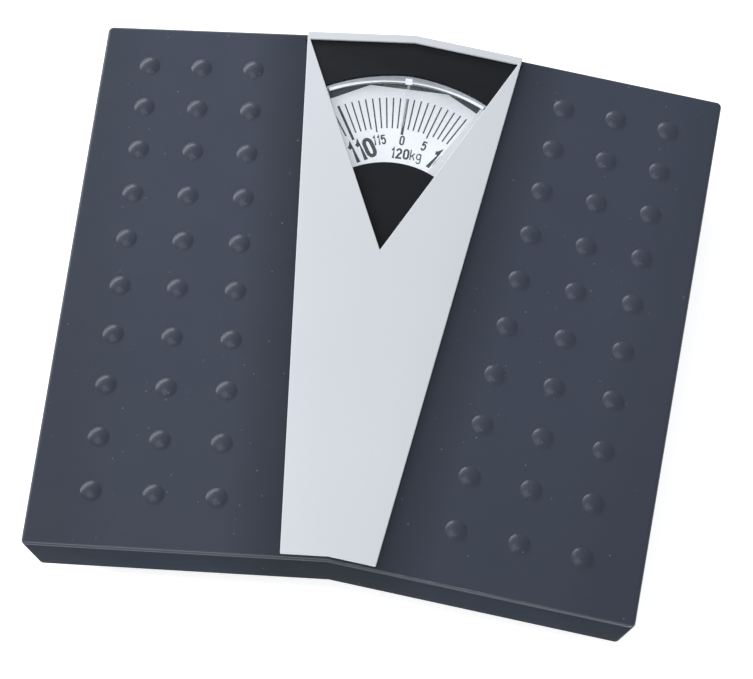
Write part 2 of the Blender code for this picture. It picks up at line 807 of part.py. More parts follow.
def centre_strip(pivot):
    """The folded silver plate round the window, in two halves that meet on the ridge."""
    bm = bmesh.new()
    back = BACK_Y + STRIP_BACK_OVERHANG
    front = FRONT_Y + STRIP_FRONT_MARGIN
    window = window_corners()
    half = [
        (0, back),
        plan_corner(-STRIP_BACK_WIDTH / 2, back),
        plan_corner(-STRIP_FRONT_WIDTH / 2, front),
        (0, front),
        window[2],
        window[1],
        window[0],
    ]
    shared = {}
    for side in (1, -1):
        ring = []
        for x, y in half:
            place = (side * x, y, fold_height(x) + GAP)
            if x == 0 and y in shared:
                ring.append(shared[y])
                continue
            ring.append(bm.verts.new(place))
            if x == 0:
                shared[y] = ring[-1]
        bm.faces.new(ring)
    outline = list(bm.verts)
    close_sheet(bm, outline, lifted(outline, STRIP_SHEET))
    strip = finish_piece("centre_strip", bm, silver_paint(), pivot)
    edge = strip.modifiers.new("edge", "BEVEL")
    edge.width = STRIP_EDGE_BEVEL
    edge.segments = 1
    edge.limit_method = "ANGLE"
    edge.angle_limit = math.radians(SHARP_ANGLE)
    return strip


# Mask and lens


def arc_meets_side(radius, centre_y, start, end):
    """Where a circle crosses a straight side of the window, from the circle's centre."""
    origin = Vector(start) - Vector((0, centre_y))
    along = (Vector(end) - Vector(start)).normalized()
    half = origin.dot(along)
    reach = -half + math.sqrt(half * half - origin.length_squared + radius * radius)
    return origin + along * reach


def arcs_y():
    """The opening's two arcs have one centre, in front of the dial's axis."""
    return DIAL_Y - WINDOW_ARCS_FORWARD


def opening_arcs(widen=0):
    """The opening's two arcs, each a radius and the place of its centre."""
    return (MASK_OUTER_RADIUS + widen, arcs_y()), (SECTOR_RADIUS - widen, arcs_y())


def arc_points(radius, centre_y, apex, first, last, steps=ARC_STEPS):
    start = arc_meets_side(radius, centre_y, apex, first)
    end = arc_meets_side(radius, centre_y, apex, last)
    from_angle = math.atan2(start.y, start.x)
    to_angle = math.atan2(end.y, end.x)
    points = []
    for step in range(steps + 1):
        angle = from_angle + (to_angle - from_angle) * step / steps
        points.append((radius * math.cos(angle), centre_y + radius * math.sin(angle)))
    return points


def sector(arcs, corners):
    """The area between two arcs and the window's two sloping sides."""
    outer, inner = arcs
    left, apex, right = corners[1], corners[2], corners[3]
    return arc_points(*outer, apex, right, left) + arc_points(*inner, apex, left, right)


def recess_outline(corners):
    """From the apex to the outer arc: here the mask steps down to the level of the lens."""
    left, apex, right = corners[1], corners[2], corners[3]
    return arc_points(MASK_OUTER_RADIUS, arcs_y(), apex, right, left) + [apex]


def hollow_outline(corners):
    """Behind the outer arc's wall, up to the back: here the mask is a folded sheet, open below."""
    back, left, apex, right = corners
    return arc_points(MASK_OUTER_RADIUS + COLLAR_WALL, arcs_y(), apex, left, right) + [right, back, left]


def collar_corners(inwards=0):
    """The collar stands in the shell's cut-out, one gap inside it."""
    insets = (GAP + inwards,) * 4
    return inset_corners(window_corners(SHELL_CUT_SIDE_MARGIN, SHELL_CUT_BACK_MARGIN), insets)


def dial_mask(pivot):
    margins = (-MASK_BACK_FLANGE, -MASK_FLANGE, -MASK_FLANGE, -MASK_BACK_FLANGE)
    flange = inset_corners(collar_corners(), margins)
    mask = finish_piece("dial_mask", prism(flange, MASK_UNDERSIDE, MASK_TOP), black_plastic(), pivot)
    join(mask, folded_prism(collar_corners(), MASK_UNDERSIDE + MASK_SHEET / 2, 0))
    inside = collar_corners(COLLAR_WALL)
    cut(mask, folded_prism(recess_outline(inside), MASK_TOP, CUT_OVERRUN))
    cut(mask, folded_prism(hollow_outline(inside), MASK_UNDERSIDE - CUT_OVERRUN, -MASK_SHEET))
    (outer_radius, outer_y), inner = opening_arcs()
    undercut = (outer_radius + MASK_UNDERCUT, outer_y)
    opening = sector((undercut, inner), collar_corners(COLLAR_WALL + MASK_LEDGE))
    cut(mask, prism(opening, MASK_UNDERSIDE - CUT_OVERRUN, MASK_TOP + CUT_OVERRUN))
    return mask


def dial_lens(pivot):
    lip = sector(opening_arcs(LENS_LIP), collar_corners())
    lens = finish_piece("dial_lens", prism(lip, LENS_UNDERSIDE, LENS_TOP), clear_plastic(), pivot, smooth=True)
    sides = collar_corners(COLLAR_WALL + MASK_LEDGE + GAP)
    plug = sector(opening_arcs(-GAP), sides)
    join(lens, prism(plug, LENS_TOP - LENS_SHEET / 2, MASK_TOP))
    rim_radius = MASK_OUTER_RADIUS - 2 * GAP
    rim_arcs = ((rim_radius, arcs_y()), (rim_radius - LENS_RIM_WIDTH, arcs_y()))
    rim = sector(rim_arcs, collar_corners(COLLAR_WALL + MASK_LEDGE + 2 * GAP))
    join(lens, folded_prism(rim, MASK_TOP - MASK_SHEET / 2, -LENS_RIM_DROP))
    pointer_end = arcs_y() + rim_radius - LENS_RIM_WIDTH / 2
    pointer = box_outline(-POINTER_WIDTH / 2, pointer_end - POINTER_REACH, POINTER_WIDTH / 2, pointer_end)
    join(lens, prism(pointer, MASK_TOP - MASK_SHEET / 2, MASK_TOP + POINTER_RISE))
    return lens


# Dial train


def dial_disc(pivot):
    """A twelve-sided plate with the middle of one side behind the pointer at rest."""
    outline = circle((0, DIAL_Y), DIAL_CORNER_RADIUS, DIAL_SIDES, start=math.pi / DIAL_SIDES)
    disc = finish_piece("dial_disc", prism(outline, DIAL_UNDERSIDE, DIAL_TOP), dial_white(), pivot)
    start = (0, DIAL_Y, DIAL_UNDERSIDE - CUT_OVERRUN)
    cut(disc, cylinder(start, DIAL_BORE_RADIUS, DIAL_SHEET + 2 * CUT_OVERRUN))
    return disc


def dial_hub(pivot):
    """A flanged bush that carries the disc and is closed over it by a rolled head."""
    bore = SPINDLE_RADIUS + PIN_CLEARANCE
    base = DIAL_UNDERSIDE - GAP - HUB_FLANGE
    top = DIAL_TOP + GAP
    profile = [
        (bore, base),
        (HUB_RADIUS, base),
        (HUB_RADIUS, base + HUB_FLANGE),
        (HUB_BOSS_RADIUS, base + HUB_FLANGE),
        (HUB_BOSS_RADIUS, top),
        (HUB_HEAD_RADIUS, top),
        (HUB_HEAD_RADIUS, top + HUB_HEAD),
        (HUB_BOSS_RADIUS, top + HUB_BOSS_RISE),
        (bore, top + HUB_BOSS_RISE),
    ]
    return finish_piece("dial_hub", revolve(profile, (0, DIAL_Y, 0), closed=True), brass(), pivot, smooth=True)


def involute(angle):
    return math.tan(angle) - angle


def pinion_outline():
    """Involute teeth with straight roots, one tooth space facing the rack at rest."""
    pressure = math.radians(PRESSURE_ANGLE)
    base_radius = PINION_RADIUS * math.cos(pressure)
    half_at_pitch = TOOTH_WIDTH / 2 / PINION_RADIUS
    tip_radius = PINION_RADIUS + TOOTH_ADDENDUM
    flanks = []
    for radius in (base_radius, PINION_RADIUS, (PINION_RADIUS + tip_radius) / 2, tip_radius):
        roll = math.acos(min(1, base_radius / radius))
        flanks.append((radius, half_at_pitch + involute(pressure) - involute(roll)))
    flanks.insert(0, (PINION_RADIUS - TOOTH_DEDENDUM, flanks[0][1]))
    points = []
    for tooth in range(PINION_TEETH):
        middle = math.pi + 2 * math.pi * tooth / PINION_TEETH
        for radius, half in flanks:
            points.append((radius * math.cos(middle - half), DIAL_Y + radius * math.sin(middle - half)))
        for radius, half in flanks[::-1]:
            points.append((radius * math.cos(middle + half), DIAL_Y + radius * math.sin(middle + half)))
    return points


def dial_spindle(pivot):
    foot = post_top() - POST_CUP_DEPTH + GAP
    pinion_low = RACK_HEIGHT + (RACK_SHEET - PINION_LENGTH) / 2
    head = DIAL_TOP + GAP + HUB_BOSS_RISE
    bm = prism(pinion_outline(), pinion_low, pinion_low + PINION_LENGTH)
    spindle = finish_piece("dial_spindle", bm, brass(), pivot)
    join(spindle, cylinder((0, DIAL_Y, foot), SPINDLE_RADIUS, head - foot))
    return spindle


def rack(pivot):
    """A toothed strip. Its first tooth space faces the spindle at rest, and it slides to the front."""
    pitch = math.pi * TOOTH_MODULE
    slope = math.tan(math.radians(PRESSURE_ANGLE))
    line, tip, root = -PINION_RADIUS, -PINION_RADIUS + TOOTH_ADDENDUM, -PINION_RADIUS - TOOTH_DEDENDUM
    back = root - RACK_BACK_WIDTH
    front_y = DIAL_Y - 2 * pitch - RACK_FRONT_MARGIN
    end_y = CRANK_TIP_Y + RACK_TAIL
    teeth = []
    for tooth in range(RACK_TEETH):
        middle = DIAL_Y + (tooth - 1) * pitch - pitch / 2
        for level, side in ((root, -1), (tip, -1), (tip, 1), (root, 1)):
            half = TOOTH_WIDTH / 2 - (level - line) * slope
            teeth.append((level, middle + side * half))
    outline = [(back, end_y), (back, front_y), (root, front_y), *teeth, (root, end_y)]
    strip = finish_piece("rack", prism(outline, RACK_HEIGHT, RACK_HEIGHT + RACK_SHEET), zinc_steel(), pivot)
    half_width = CRANK_SHEET / 2 + PIN_CLEARANCE
    low = CRANK_TIP_Y - RACK_SLOT_HALF_LENGTH
    high = CRANK_TIP_Y + RACK_SLOT_HALF_LENGTH
    slot = box_outline(MECHANISM_X - half_width, low, MECHANISM_X + half_width, high)
    cut(strip, prism(slot, RACK_HEIGHT - CUT_OVERRUN, RACK_HEIGHT + RACK_SHEET + CUT_OVERRUN))
    return strip


def crank_knee():
    """Rest place of the bend in the toe's arm, which lies level under the nose plate at full load."""
    turn = 2 * CRANK_LEAN
    reach = CRANK_KNEE_REACH * math.cos(turn) + CRANK_KNEE_DROP * math.sin(turn)
    rise = CRANK_KNEE_REACH * math.sin(turn) - CRANK_KNEE_DROP * math.cos(turn)
    return (CRANK_Y - reach, CRANK_PIVOT_HEIGHT + rise)


def bell_crank(pivot):
    """The calibrating crank: a toe under the nose plate, a hole for the main spring and a tip in the rack."""
    hub = (CRANK_Y, CRANK_PIVOT_HEIGHT)
    toe = (NOSE_Y, CRANK_PIVOT_HEIGHT + CRANK_TOE_REACH * math.sin(CRANK_LEAN))
    tip = (CRANK_TIP_Y, CRANK_PIVOT_HEIGHT + CRANK_RISE * math.cos(CRANK_LEAN))
    eye = (SPRING_HOOK_Y, SPRING_HEIGHT)
    low, high = MECHANISM_X - CRANK_SHEET / 2, MECHANISM_X + CRANK_SHEET / 2
    upper = prism(capsule(hub, CRANK_HUB_RADIUS, eye, CRANK_NECK_RADIUS), low, high, "X")
    crank = finish_piece("bell_crank", upper, zinc_steel(), pivot, smooth=True)
    knee = crank_knee()
    join(crank, prism(capsule(hub, CRANK_HUB_RADIUS, knee, CRANK_KNEE_RADIUS), low, high, "X"))
    join(crank, prism(capsule(knee, CRANK_KNEE_RADIUS, toe, CRANK_TOE_RADIUS), low, high, "X"))
    join(crank, prism(capsule(eye, CRANK_NECK_RADIUS, tip, CRANK_TIP_RADIUS), low, high, "X"))
    start = low - CUT_OVERRUN
    length = CRANK_SHEET + 2 * CUT_OVERRUN
    cut(crank, cylinder((start, *hub), CRANK_PIN_RADIUS + PIN_CLEARANCE, length, "X"))
    cut(crank, cylinder((start, *eye), HOOK_HOLE_RADIUS, length, "X", sides=10))
    return crank


def crank_bracket(pivot):
    middle = MECHANISM_X
    half = CRANK_EAR_OFFSET + CRANK_EAR_SHEET / 2
    top = CRANK_PIVOT_HEIGHT + CRANK_EAR_RISE
    line = [(-half, top), (-half, SEAT + CRANK_EAR_SHEET / 2), (half, SEAT + CRANK_EAR_SHEET / 2), (half, top)]
    outline = strip_outline([(middle + x, z) for x, z in line], CRANK_EAR_SHEET)
    bm = prism(outline, CRANK_Y - CRANK_EAR_LENGTH / 2, CRANK_Y + CRANK_EAR_LENGTH / 2, "Y")
    bracket = finish_piece("crank_bracket", bm, zinc_steel(), pivot)
    start = middle - half - CRANK_EAR_SHEET
    bore = CRANK_PIN_RADIUS + PIN_CLEARANCE
    cut(bracket, cylinder((start, CRANK_Y, CRANK_PIVOT_HEIGHT), bore, 2 * (half + CRANK_EAR_SHEET), "X"))
    return bracket


def crank_pin(pivot):
    start = (MECHANISM_X - CRANK_PIN_LENGTH / 2, CRANK_Y, CRANK_PIVOT_HEIGHT)
    bm = cylinder(start, CRANK_PIN_RADIUS, CRANK_PIN_LENGTH, "X")
    return finish_piece("crank_pin", bm, zinc_steel(), pivot, smooth=True)


# Dial bridge and its neighbours


def post_top():
    pinion_low = RACK_HEIGHT + (RACK_SHEET - PINION_LENGTH) / 2
    return pinion_low - GAP


def dial_bridge(pivot):
    """A bent strip on edge along Y that carries the dial's bearing above the levers."""
    low, high = SEAT + BRIDGE_SHEET / 2, BRIDGE_TOP - BRIDGE_SHEET / 2
    line = [
        (BRIDGE_FRONT_LEG_Y - BRIDGE_FOOT, low),
        (BRIDGE_FRONT_LEG_Y, low),
        (BRIDGE_FRONT_LEG_Y, high),
        (BRIDGE_BACK_LEG_Y, high),
        (BRIDGE_BACK_LEG_Y, low),
        (BRIDGE_BACK_LEG_Y - BRIDGE_FOOT, low),
    ]
    half = BRIDGE_WIDTH / 2
    bridge = finish_piece(
        "dial_bridge", prism(strip_outline(line, BRIDGE_SHEET), -half, half, "X"), zinc_steel(), pivot
    )
    bore = SPINDLE_RADIUS + PIN_CLEARANCE
    low_cut = high - BRIDGE_SHEET
    cut(bridge, cylinder((0, DIAL_Y, low_cut), bore, 2 * BRIDGE_SHEET))
    rack_back = -PINION_RADIUS - TOOTH_DEDENDUM - RACK_BACK_WIDTH
    opening = box_outline(
        rack_back - SLOT_CLEARANCE,
        RACK_HEIGHT - SLOT_CLEARANCE,
        -PINION_RADIUS + TOOTH_ADDENDUM + SLOT_CLEARANCE,
        RACK_HEIGHT + RACK_SHEET + SLOT_CLEARANCE,
    )
    cut(bridge, prism(opening, BRIDGE_BACK_LEG_Y - BRIDGE_SHEET, BRIDGE_BACK_LEG_Y + BRIDGE_SHEET, "Y"))
    return bridge


def pivot_post(pivot):
    """The post whose cup holds the spindle's lower end."""
    cup = SPINDLE_RADIUS + PIN_CLEARANCE
    top = post_top()
    profile = [
        (0, SEAT),
        (POST_FLANGE_RADIUS, SEAT),
        (POST_FLANGE_RADIUS, SEAT + POST_FLANGE),
        (POST_RADIUS, SEAT + POST_FLANGE),
        (POST_RADIUS, top),
        (cup, top),
        (cup, top - POST_CUP_DEPTH),
        (0, top - POST_CUP_DEPTH),
    ]
    return finish_piece("pivot_post", revolve(profile, (0, DIAL_Y, 0)), zinc_steel(), pivot, smooth=True)


def rack_guide(pivot):
    """A folded clip under the bridge that holds the rack against the pinion and carries its weight."""
    rack_back = -PINION_RADIUS - TOOTH_DEDENDUM - RACK_BACK_WIDTH
    wall = rack_back - GAP - GUIDE_SHEET / 2
    lip = RACK_HEIGHT - GAP - GUIDE_SHEET / 2
    flange = BRIDGE_TOP - BRIDGE_SHEET - GAP - GUIDE_SHEET / 2
    line = [(wall + GUIDE_LIP, lip), (wall, lip), (wall, flange), (wall - GUIDE_FLANGE, flange)]
    outline = strip_outline(line, GUIDE_SHEET)
    bm = prism(outline, DIAL_Y - GUIDE_LENGTH / 2, DIAL_Y + GUIDE_LENGTH / 2, "Y")
    return finish_piece("rack_guide", bm, zinc_steel(), pivot)


# Levers


def long_lever_path(side):
    return [
        (side * FULCRUM_X, -FULCRUM_Y - LEVER_TAIL),
        (side * FULCRUM_X, -LEVER_BEND_Y),
        (side * LONG_LEVER_END_X, LONG_LEVER_END_Y),
    ]


def short_lever_path(side):
    return [
        (side * FULCRUM_X, FULCRUM_Y + LEVER_TAIL),
        (side * FULCRUM_X, LEVER_BEND_Y),
        (side * SHORT_LEVER_END_X, -SHORT_LEVER_PAST_LINK),
    ]


def channel_section():
    """An open channel with its mouth down."""
    outer, inner = LEVER_WIDTH / 2, LEVER_WIDTH / 2 - LEVER_SHEET
    web = LEVER_TOP - LEVER_SHEET
    return [
        (-outer, LEVER_BOTTOM),
        (-outer, LEVER_TOP),
        (outer, LEVER_TOP),
        (outer, LEVER_BOTTOM),
        (inner, LEVER_BOTTOM),
        (inner, web),
        (-inner, web),
        (-inner, LEVER_BOTTOM),
    ]


def knife_outline(y, radius):
    height = LEVER_AXIS_HEIGHT
    return [(y, height - radius), (y + radius, height), (y, height + radius), (y - radius, height)]


def lever(name, path, knife_places, pivot):
    arm = finish_piece(name, sweep(path, channel_section()), zinc_steel(), pivot)
    centre_x = path[0][0]
    half = LEVER_WIDTH / 2 + CUT_OVERRUN
    for y in knife_places:
        hole = knife_outline(y, KNIFE_RADIUS + PIN_CLEARANCE * math.sqrt(2))
        cut(arm, prism(hole, centre_x - half, centre_x + half, "X"))
    return arm


def knife_bar(name, centre_x, y, pivot):
    half = KNIFE_LENGTH / 2
    bm = prism(knife_outline(y, KNIFE_RADIUS), centre_x - half, centre_x + half, "X")
    return finish_piece(name, bm, zinc_steel(), pivot)


def link_strap(name, side, pivot):
    """A strap on the short lever's end that bears on the long lever beside it."""
    end_x = SHORT_LEVER_END_X + LEVER_WIDTH / 2
    low = LEVER_TOP + GAP
    step = LINK_STRAP_GAP - GAP
    line = [
        (side * end_x, low + LINK_STRAP_SHEET / 2),
        (side * (SHORT_LEVER_END_X - LEVER_WIDTH / 2), low + LINK_STRAP_SHEET / 2),
        (side * (SHORT_LEVER_END_X - LEVER_WIDTH / 2 - LINK_STRAP_SHEET), low + step + LINK_STRAP_SHEET / 2),
        (side * (end_x - LINK_STRAP_LENGTH), low + step + LINK_STRAP_SHEET / 2),
    ]
    bm = prism(strip_outline(line, LINK_STRAP_SHEET), -LINK_STRAP_WIDTH / 2, LINK_STRAP_WIDTH / 2, "Y")
    return finish_piece(name, bm, zinc_steel(), pivot)


def lever_nose_plate(pivot):
    """The strip across both long levers, dropped in the middle on to the crank's toe."""
    high = LEVER_TOP + GAP + NOSE_SHEET / 2
    low = high - NOSE_DROP
    line = [
        (-NOSE_HALF_SPAN, high),
        (-NOSE_SHOULDER_X, high),
        (-NOSE_DROP_X, low),
        (NOSE_DROP_X, low),
        (NOSE_SHOULDER_X, high),
        (NOSE_HALF_SPAN, high),
    ]
    half = NOSE_LENGTH / 2
    bm = prism(strip_outline(line, NOSE_SHEET), NOSE_Y - half, NOSE_Y + half, "Y")
    return finish_piece("lever_nose_plate", bm, zinc_steel(), pivot)


def notch_outline(y, apex, mouth, up):
    """A V notch that opens into a slot. up is 1 for a notch open at the top and -1 for one open below."""
    shoulder = apex + up * NOTCH_DEPTH
    return [
        (y, apex),
        (y + NOTCH_HALF_WIDTH, shoulder),
        (y + NOTCH_HALF_WIDTH, mouth),
        (y - NOTCH_HALF_WIDTH, mouth),
        (y - NOTCH_HALF_WIDTH, shoulder),
    ]


def fulcrum_bracket(name, centre_x, y, pivot):
    top = LEVER_AXIS_HEIGHT + FULCRUM_EAR_RISE
    half = EAR_OFFSET + EAR_SHEET / 2
    base = SEAT + EAR_SHEET / 2
    line = [(centre_x - half, top), (centre_x - half, base), (centre_x + half, base), (centre_x + half, top)]
    low, high = y - FULCRUM_BRACKET_LENGTH / 2, y + FULCRUM_BRACKET_LENGTH / 2
    bracket = finish_piece(name, prism(strip_outline(line, EAR_SHEET), low, high, "Y"), zinc_steel(), pivot)
    apex = LEVER_AXIS_HEIGHT - KNIFE_RADIUS - GAP * math.sqrt(2)
    reach = half + EAR_SHEET
    notch = notch_outline(y, apex, top + CUT_OVERRUN, 1)
    cut(bracket, prism(notch, centre_x - reach, centre_x + reach, "X"))
    return bracket


def load_bracket(name, centre_x, y, pivot):
    """A saddle under the shell whose two legs rest on the load bar. Its top follows the wing's slope."""
    half = EAR_OFFSET + EAR_SHEET / 2
    foot = LEVER_AXIS_HEIGHT - LOAD_LEG_DROP
    top = lambda x: under_shell(x) - GAP - EAR_SHEET / 2
    left, right = centre_x - half, centre_x + half
    line = [(left, foot), (left, top(left)), (right, top(right)), (right, foot)]
    low, high = y - LOAD_BRACKET_LENGTH / 2, y + LOAD_BRACKET_LENGTH / 2
    bracket = finish_piece(name, prism(strip_outline(line, EAR_SHEET), low, high, "Y"), zinc_steel(), pivot)
    apex = LEVER_AXIS_HEIGHT + KNIFE_RADIUS + GAP * math.sqrt(2)
    reach = half + EAR_SHEET
    notch = notch_outline(y, apex, foot - CUT_OVERRUN, -1)
    cut(bracket, prism(notch, centre_x - reach, centre_x + reach, "X"))
    return bracket


# Springs and zero adjustment


def coil(start, axis, radius, pitch, turns):
    """Points of a plain helix that starts at a place and runs along Y or Z."""
    points = []
    for index in range(turns * POINTS_PER_TURN + 1):
        angle = 2 * math.pi * index / POINTS_PER_TURN
        across, up = radius * math.cos(angle), radius * math.sin(angle)
        along = pitch * index / POINTS_PER_TURN
        if axis == "Y":
            points.append((start[0] + across, start[1] + along, start[2] + up))
        else:
            points.append((start[0] + across, start[1] + up, start[2] + along))
    return points


def main_spring(pivot):
    """A coil between two J hooks, one through the crank's eye and one through the screw's."""
    wire, radius = MAIN_WIRE_RADIUS, MAIN_COIL_RADIUS
    side = MECHANISM_X + CRANK_SHEET / 2 + PIN_CLEARANCE + wire + GAP
    far = MECHANISM_X - SPRING_HOOK_REACH
    winding = coil(
        (MECHANISM_X, MAIN_COIL_START_Y, SPRING_HEIGHT), "Y", radius, MAIN_PITCH, MAIN_TURNS
    )
    coil_end_y = MAIN_COIL_START_Y + MAIN_PITCH * MAIN_TURNS
    lead_in = [
        (far, SPRING_HOOK_Y, SPRING_HEIGHT),
        (side - wire / 2, SPRING_HOOK_Y, SPRING_HEIGHT),
        (side + wire, SPRING_HOOK_Y + wire, SPRING_HEIGHT),
        (side + wire, MAIN_COIL_START_Y - 3 * wire, SPRING_HEIGHT),
        (MECHANISM_X + radius, MAIN_COIL_START_Y - wire, SPRING_HEIGHT),
    ]
    lead_out = [
        (MECHANISM_X + radius, coil_end_y + wire / 2, SPRING_HEIGHT),
        (side + wire, SCREW_EYE_Y - wire, SPRING_HEIGHT),
        (side - wire / 2, SCREW_EYE_Y, SPRING_HEIGHT),
        (far, SCREW_EYE_Y, SPRING_HEIGHT),
    ]
    report_least_gap("main_spring", winding, wire)
    return tube("main_spring", lead_in + winding[1:] + lead_out, wire, spring_steel(), pivot)


def hold_plate_low():
    """Height of the eye in the lower hook plate."""
    return SEAT + HOLD_PLATE_REACH - HOLD_HOLE_MARGIN


def hold_plate_high(side):
    """Height of the eye in the upper hook plate."""
    return under_shell(HOLD_X) - GAP - HOLD_PLATE_REACH + HOLD_HOLE_MARGIN


def hold_down_spring(name, side, pivot):
    """An upright coil whose ends hook through the eyes of the two plates."""
    low, high = hold_plate_low(), hold_plate_high(side)
    wire, radius = HOLD_WIRE_RADIUS, HOLD_COIL_RADIUS
    centre_x = side * HOLD_X
    length = HOLD_PITCH * HOLD_TURNS
    start = (low + high - length) / 2
    winding = coil((centre_x, 0, start), "Z", radius, HOLD_PITCH, HOLD_TURNS)
    out_x = HOLD_PLATE_SHEET / 2 + PIN_CLEARANCE + 2 * wire
    points = [
        (centre_x - 2 * out_x, 0, low),
        (centre_x + out_x - wire, 0, low),
        (centre_x + out_x, 0, low + wire),
        (centre_x + out_x, 0, start - 3 * wire),
        *[(centre_x + radius, 0, start - wire), *winding[1:]],
        (centre_x + radius, 0, start + length + wire),
        (centre_x + out_x, 0, start + length + 3 * wire),
        (centre_x + out_x, 0, high - wire),
        (centre_x + out_x - wire, 0, high),
        (centre_x - 2 * out_x, 0, high),
    ]
    report_least_gap(name, winding, wire)
    return tube(name, points, wire, spring_steel(), pivot)


def hook_plate(name, side, upper, pivot):
    """A small angle plate with an eye: on the pan below, or under the wing and following its slope."""
    centre_x = side * HOLD_X
    half = HOLD_PLATE_SHEET / 2
    inner = centre_x - side * HOLD_PLATE_FOOT
    if upper:
        level = lambda x: under_shell(x) - GAP - half
        end = under_shell(HOLD_X) - GAP - HOLD_PLATE_REACH
        eye = hold_plate_high(side)
    else:
        level = lambda x: SEAT + half
        end = SEAT + HOLD_PLATE_REACH
        eye = hold_plate_low()
    line = [(centre_x, end), (centre_x, level(centre_x)), (inner, level(inner))]
    width = HOLD_PLATE_HALF_WIDTH
    bm = prism(strip_outline(line, HOLD_PLATE_SHEET), -width, width, "Y")
    plate = finish_piece(name, bm, zinc_steel(), pivot)
    start = (centre_x - HOLD_PLATE_SHEET, 0, eye)
    cut(plate, cylinder(start, HOLD_HOLE_RADIUS, 2 * HOLD_PLATE_SHEET, "X", sides=10))
    return plate


def anchor_face():
    """Y of the anchor bracket's back face, clear of the bend at the foot of the pan's rear wall."""
    fall = CHEVRON_SHARE * (abs(MECHANISM_X) + ANCHOR_HALF_WIDTH)
    return PAN_BACK_FACE - PAN_DRAFT - PAN_BEND - fall + GAP


def spring_anchor(pivot):
    """The angle bracket inside the pan's rear wall that the adjusting screw passes through."""
    back = anchor_face() - ANCHOR_SHEET / 2
    low = SEAT + ANCHOR_SHEET / 2
    line = [(back - ANCHOR_FOOT, low), (back, low), (back, SPRING_HEIGHT + ANCHOR_RISE)]
    bm = prism(
        strip_outline(line, ANCHOR_SHEET),
        MECHANISM_X - ANCHOR_HALF_WIDTH,
        MECHANISM_X + ANCHOR_HALF_WIDTH,
        "X",
    )
    bracket = finish_piece("spring_anchor", bm, zinc_steel(), pivot)
    start = (MECHANISM_X, back - ANCHOR_SHEET, SPRING_HEIGHT)
    cut(bracket, cylinder(start, SCREW_RADIUS + PIN_CLEARANCE, 2 * ANCHOR_SHEET, "Y"))
    return bracket


def adjusting_screw(pivot):
    """A round shank with a flat tongue whose eye takes the main spring's hook."""
    tongue_start = SCREW_EYE_Y - SCREW_TONGUE_LENGTH / 2
    shank_start = SCREW_EYE_Y + SCREW_TONGUE_LENGTH / 2 - GAP
    half = SCREW_TONGUE_HALF
    shank = cylinder((MECHANISM_X, shank_start, SPRING_HEIGHT), SCREW_RADIUS, SCREW_END_Y - shank_start, "Y")
    screw = finish_piece("adjusting_screw", shank, zinc_steel(), pivot, smooth=True)
    flat = box_outline(
        tongue_start, SPRING_HEIGHT - SCREW_RADIUS, shank_start + GAP, SPRING_HEIGHT + SCREW_RADIUS
    )
    join(screw, prism(flat, MECHANISM_X - half, MECHANISM_X + half, "X"))
    start = (MECHANISM_X - half - CUT_OVERRUN, SCREW_EYE_Y, SPRING_HEIGHT)
    cut(screw, cylinder(start, HOOK_HOLE_RADIUS, 2 * (half + CUT_OVERRUN), "X", sides=10))
    return screw


def zero_wheel(pivot):
    """A knurled nut outside the pan's rear wall, reached from below the skirt."""
    start = PAN_BACK_FACE + GAP
    outline = []
    for knurl in range(WHEEL_KNURLS):
        for share, depth in ((0, 0), (0.5, 0), (0.6, WHEEL_KNURL_DEPTH), (0.9, WHEEL_KNURL_DEPTH)):
            angle = 2 * math.pi * (knurl + share) / WHEEL_KNURLS
            radius = WHEEL_RADIUS - depth
            outline.append((MECHANISM_X + radius * math.cos(angle), SPRING_HEIGHT + radius * math.sin(angle)))
    wheel = finish_piece(
        "zero_wheel", prism(outline, start, start + WHEEL_THICKNESS, "Y"), black_plastic(), pivot
    )
    dish = [
        (WHEEL_HUB_RADIUS, WHEEL_THICKNESS - WHEEL_DISH),
        (WHEEL_RADIUS - 3 * WHEEL_KNURL_DEPTH, WHEEL_THICKNESS - WHEEL_DISH),
        (WHEEL_RADIUS - 3 * WHEEL_KNURL_DEPTH, WHEEL_THICKNESS + CUT_OVERRUN),
        (WHEEL_HUB_RADIUS, WHEEL_THICKNESS + CUT_OVERRUN),
    ]
    cut(wheel, revolve(dish, (MECHANISM_X, start, SPRING_HEIGHT), "Y", 24, closed=True))
    bore = (MECHANISM_X, start - CUT_OVERRUN, SPRING_HEIGHT)
    cut(wheel, cylinder(bore, SCREW_RADIUS + PIN_CLEARANCE, WHEEL_THICKNESS + 2 * CUT_OVERRUN, "Y"))
    return wheel


# Base pan and feet


def bead_rings(centre_x, low_y, high_y):
    """Rings of one long pressed bead with round ends."""
    rings = []
    for inset, rise in ((0, 0), (BEAD_SLOPE, BEAD_RISE)):
        radius = BEAD_WIDTH / 2 - inset
        ring = []
        for end_y, from_angle in ((high_y, 0), (low_y, math.pi)):
            for step in range(BEAD_END_STEPS + 1):
                angle = from_angle + math.pi * step / BEAD_END_STEPS
                place = (centre_x + radius * math.cos(angle), end_y + radius * math.sin(angle))
                ring.append((*place, PAN_UNDERSIDE + rise))
        rings.append(ring)
    return rings


def pan_rim_height(x):
    """The rim follows the skirt's lower edge and stands a little way up inside it."""
    return fold_height(x) - SKIRT_HEIGHT + PAN_RIM_OVERLAP


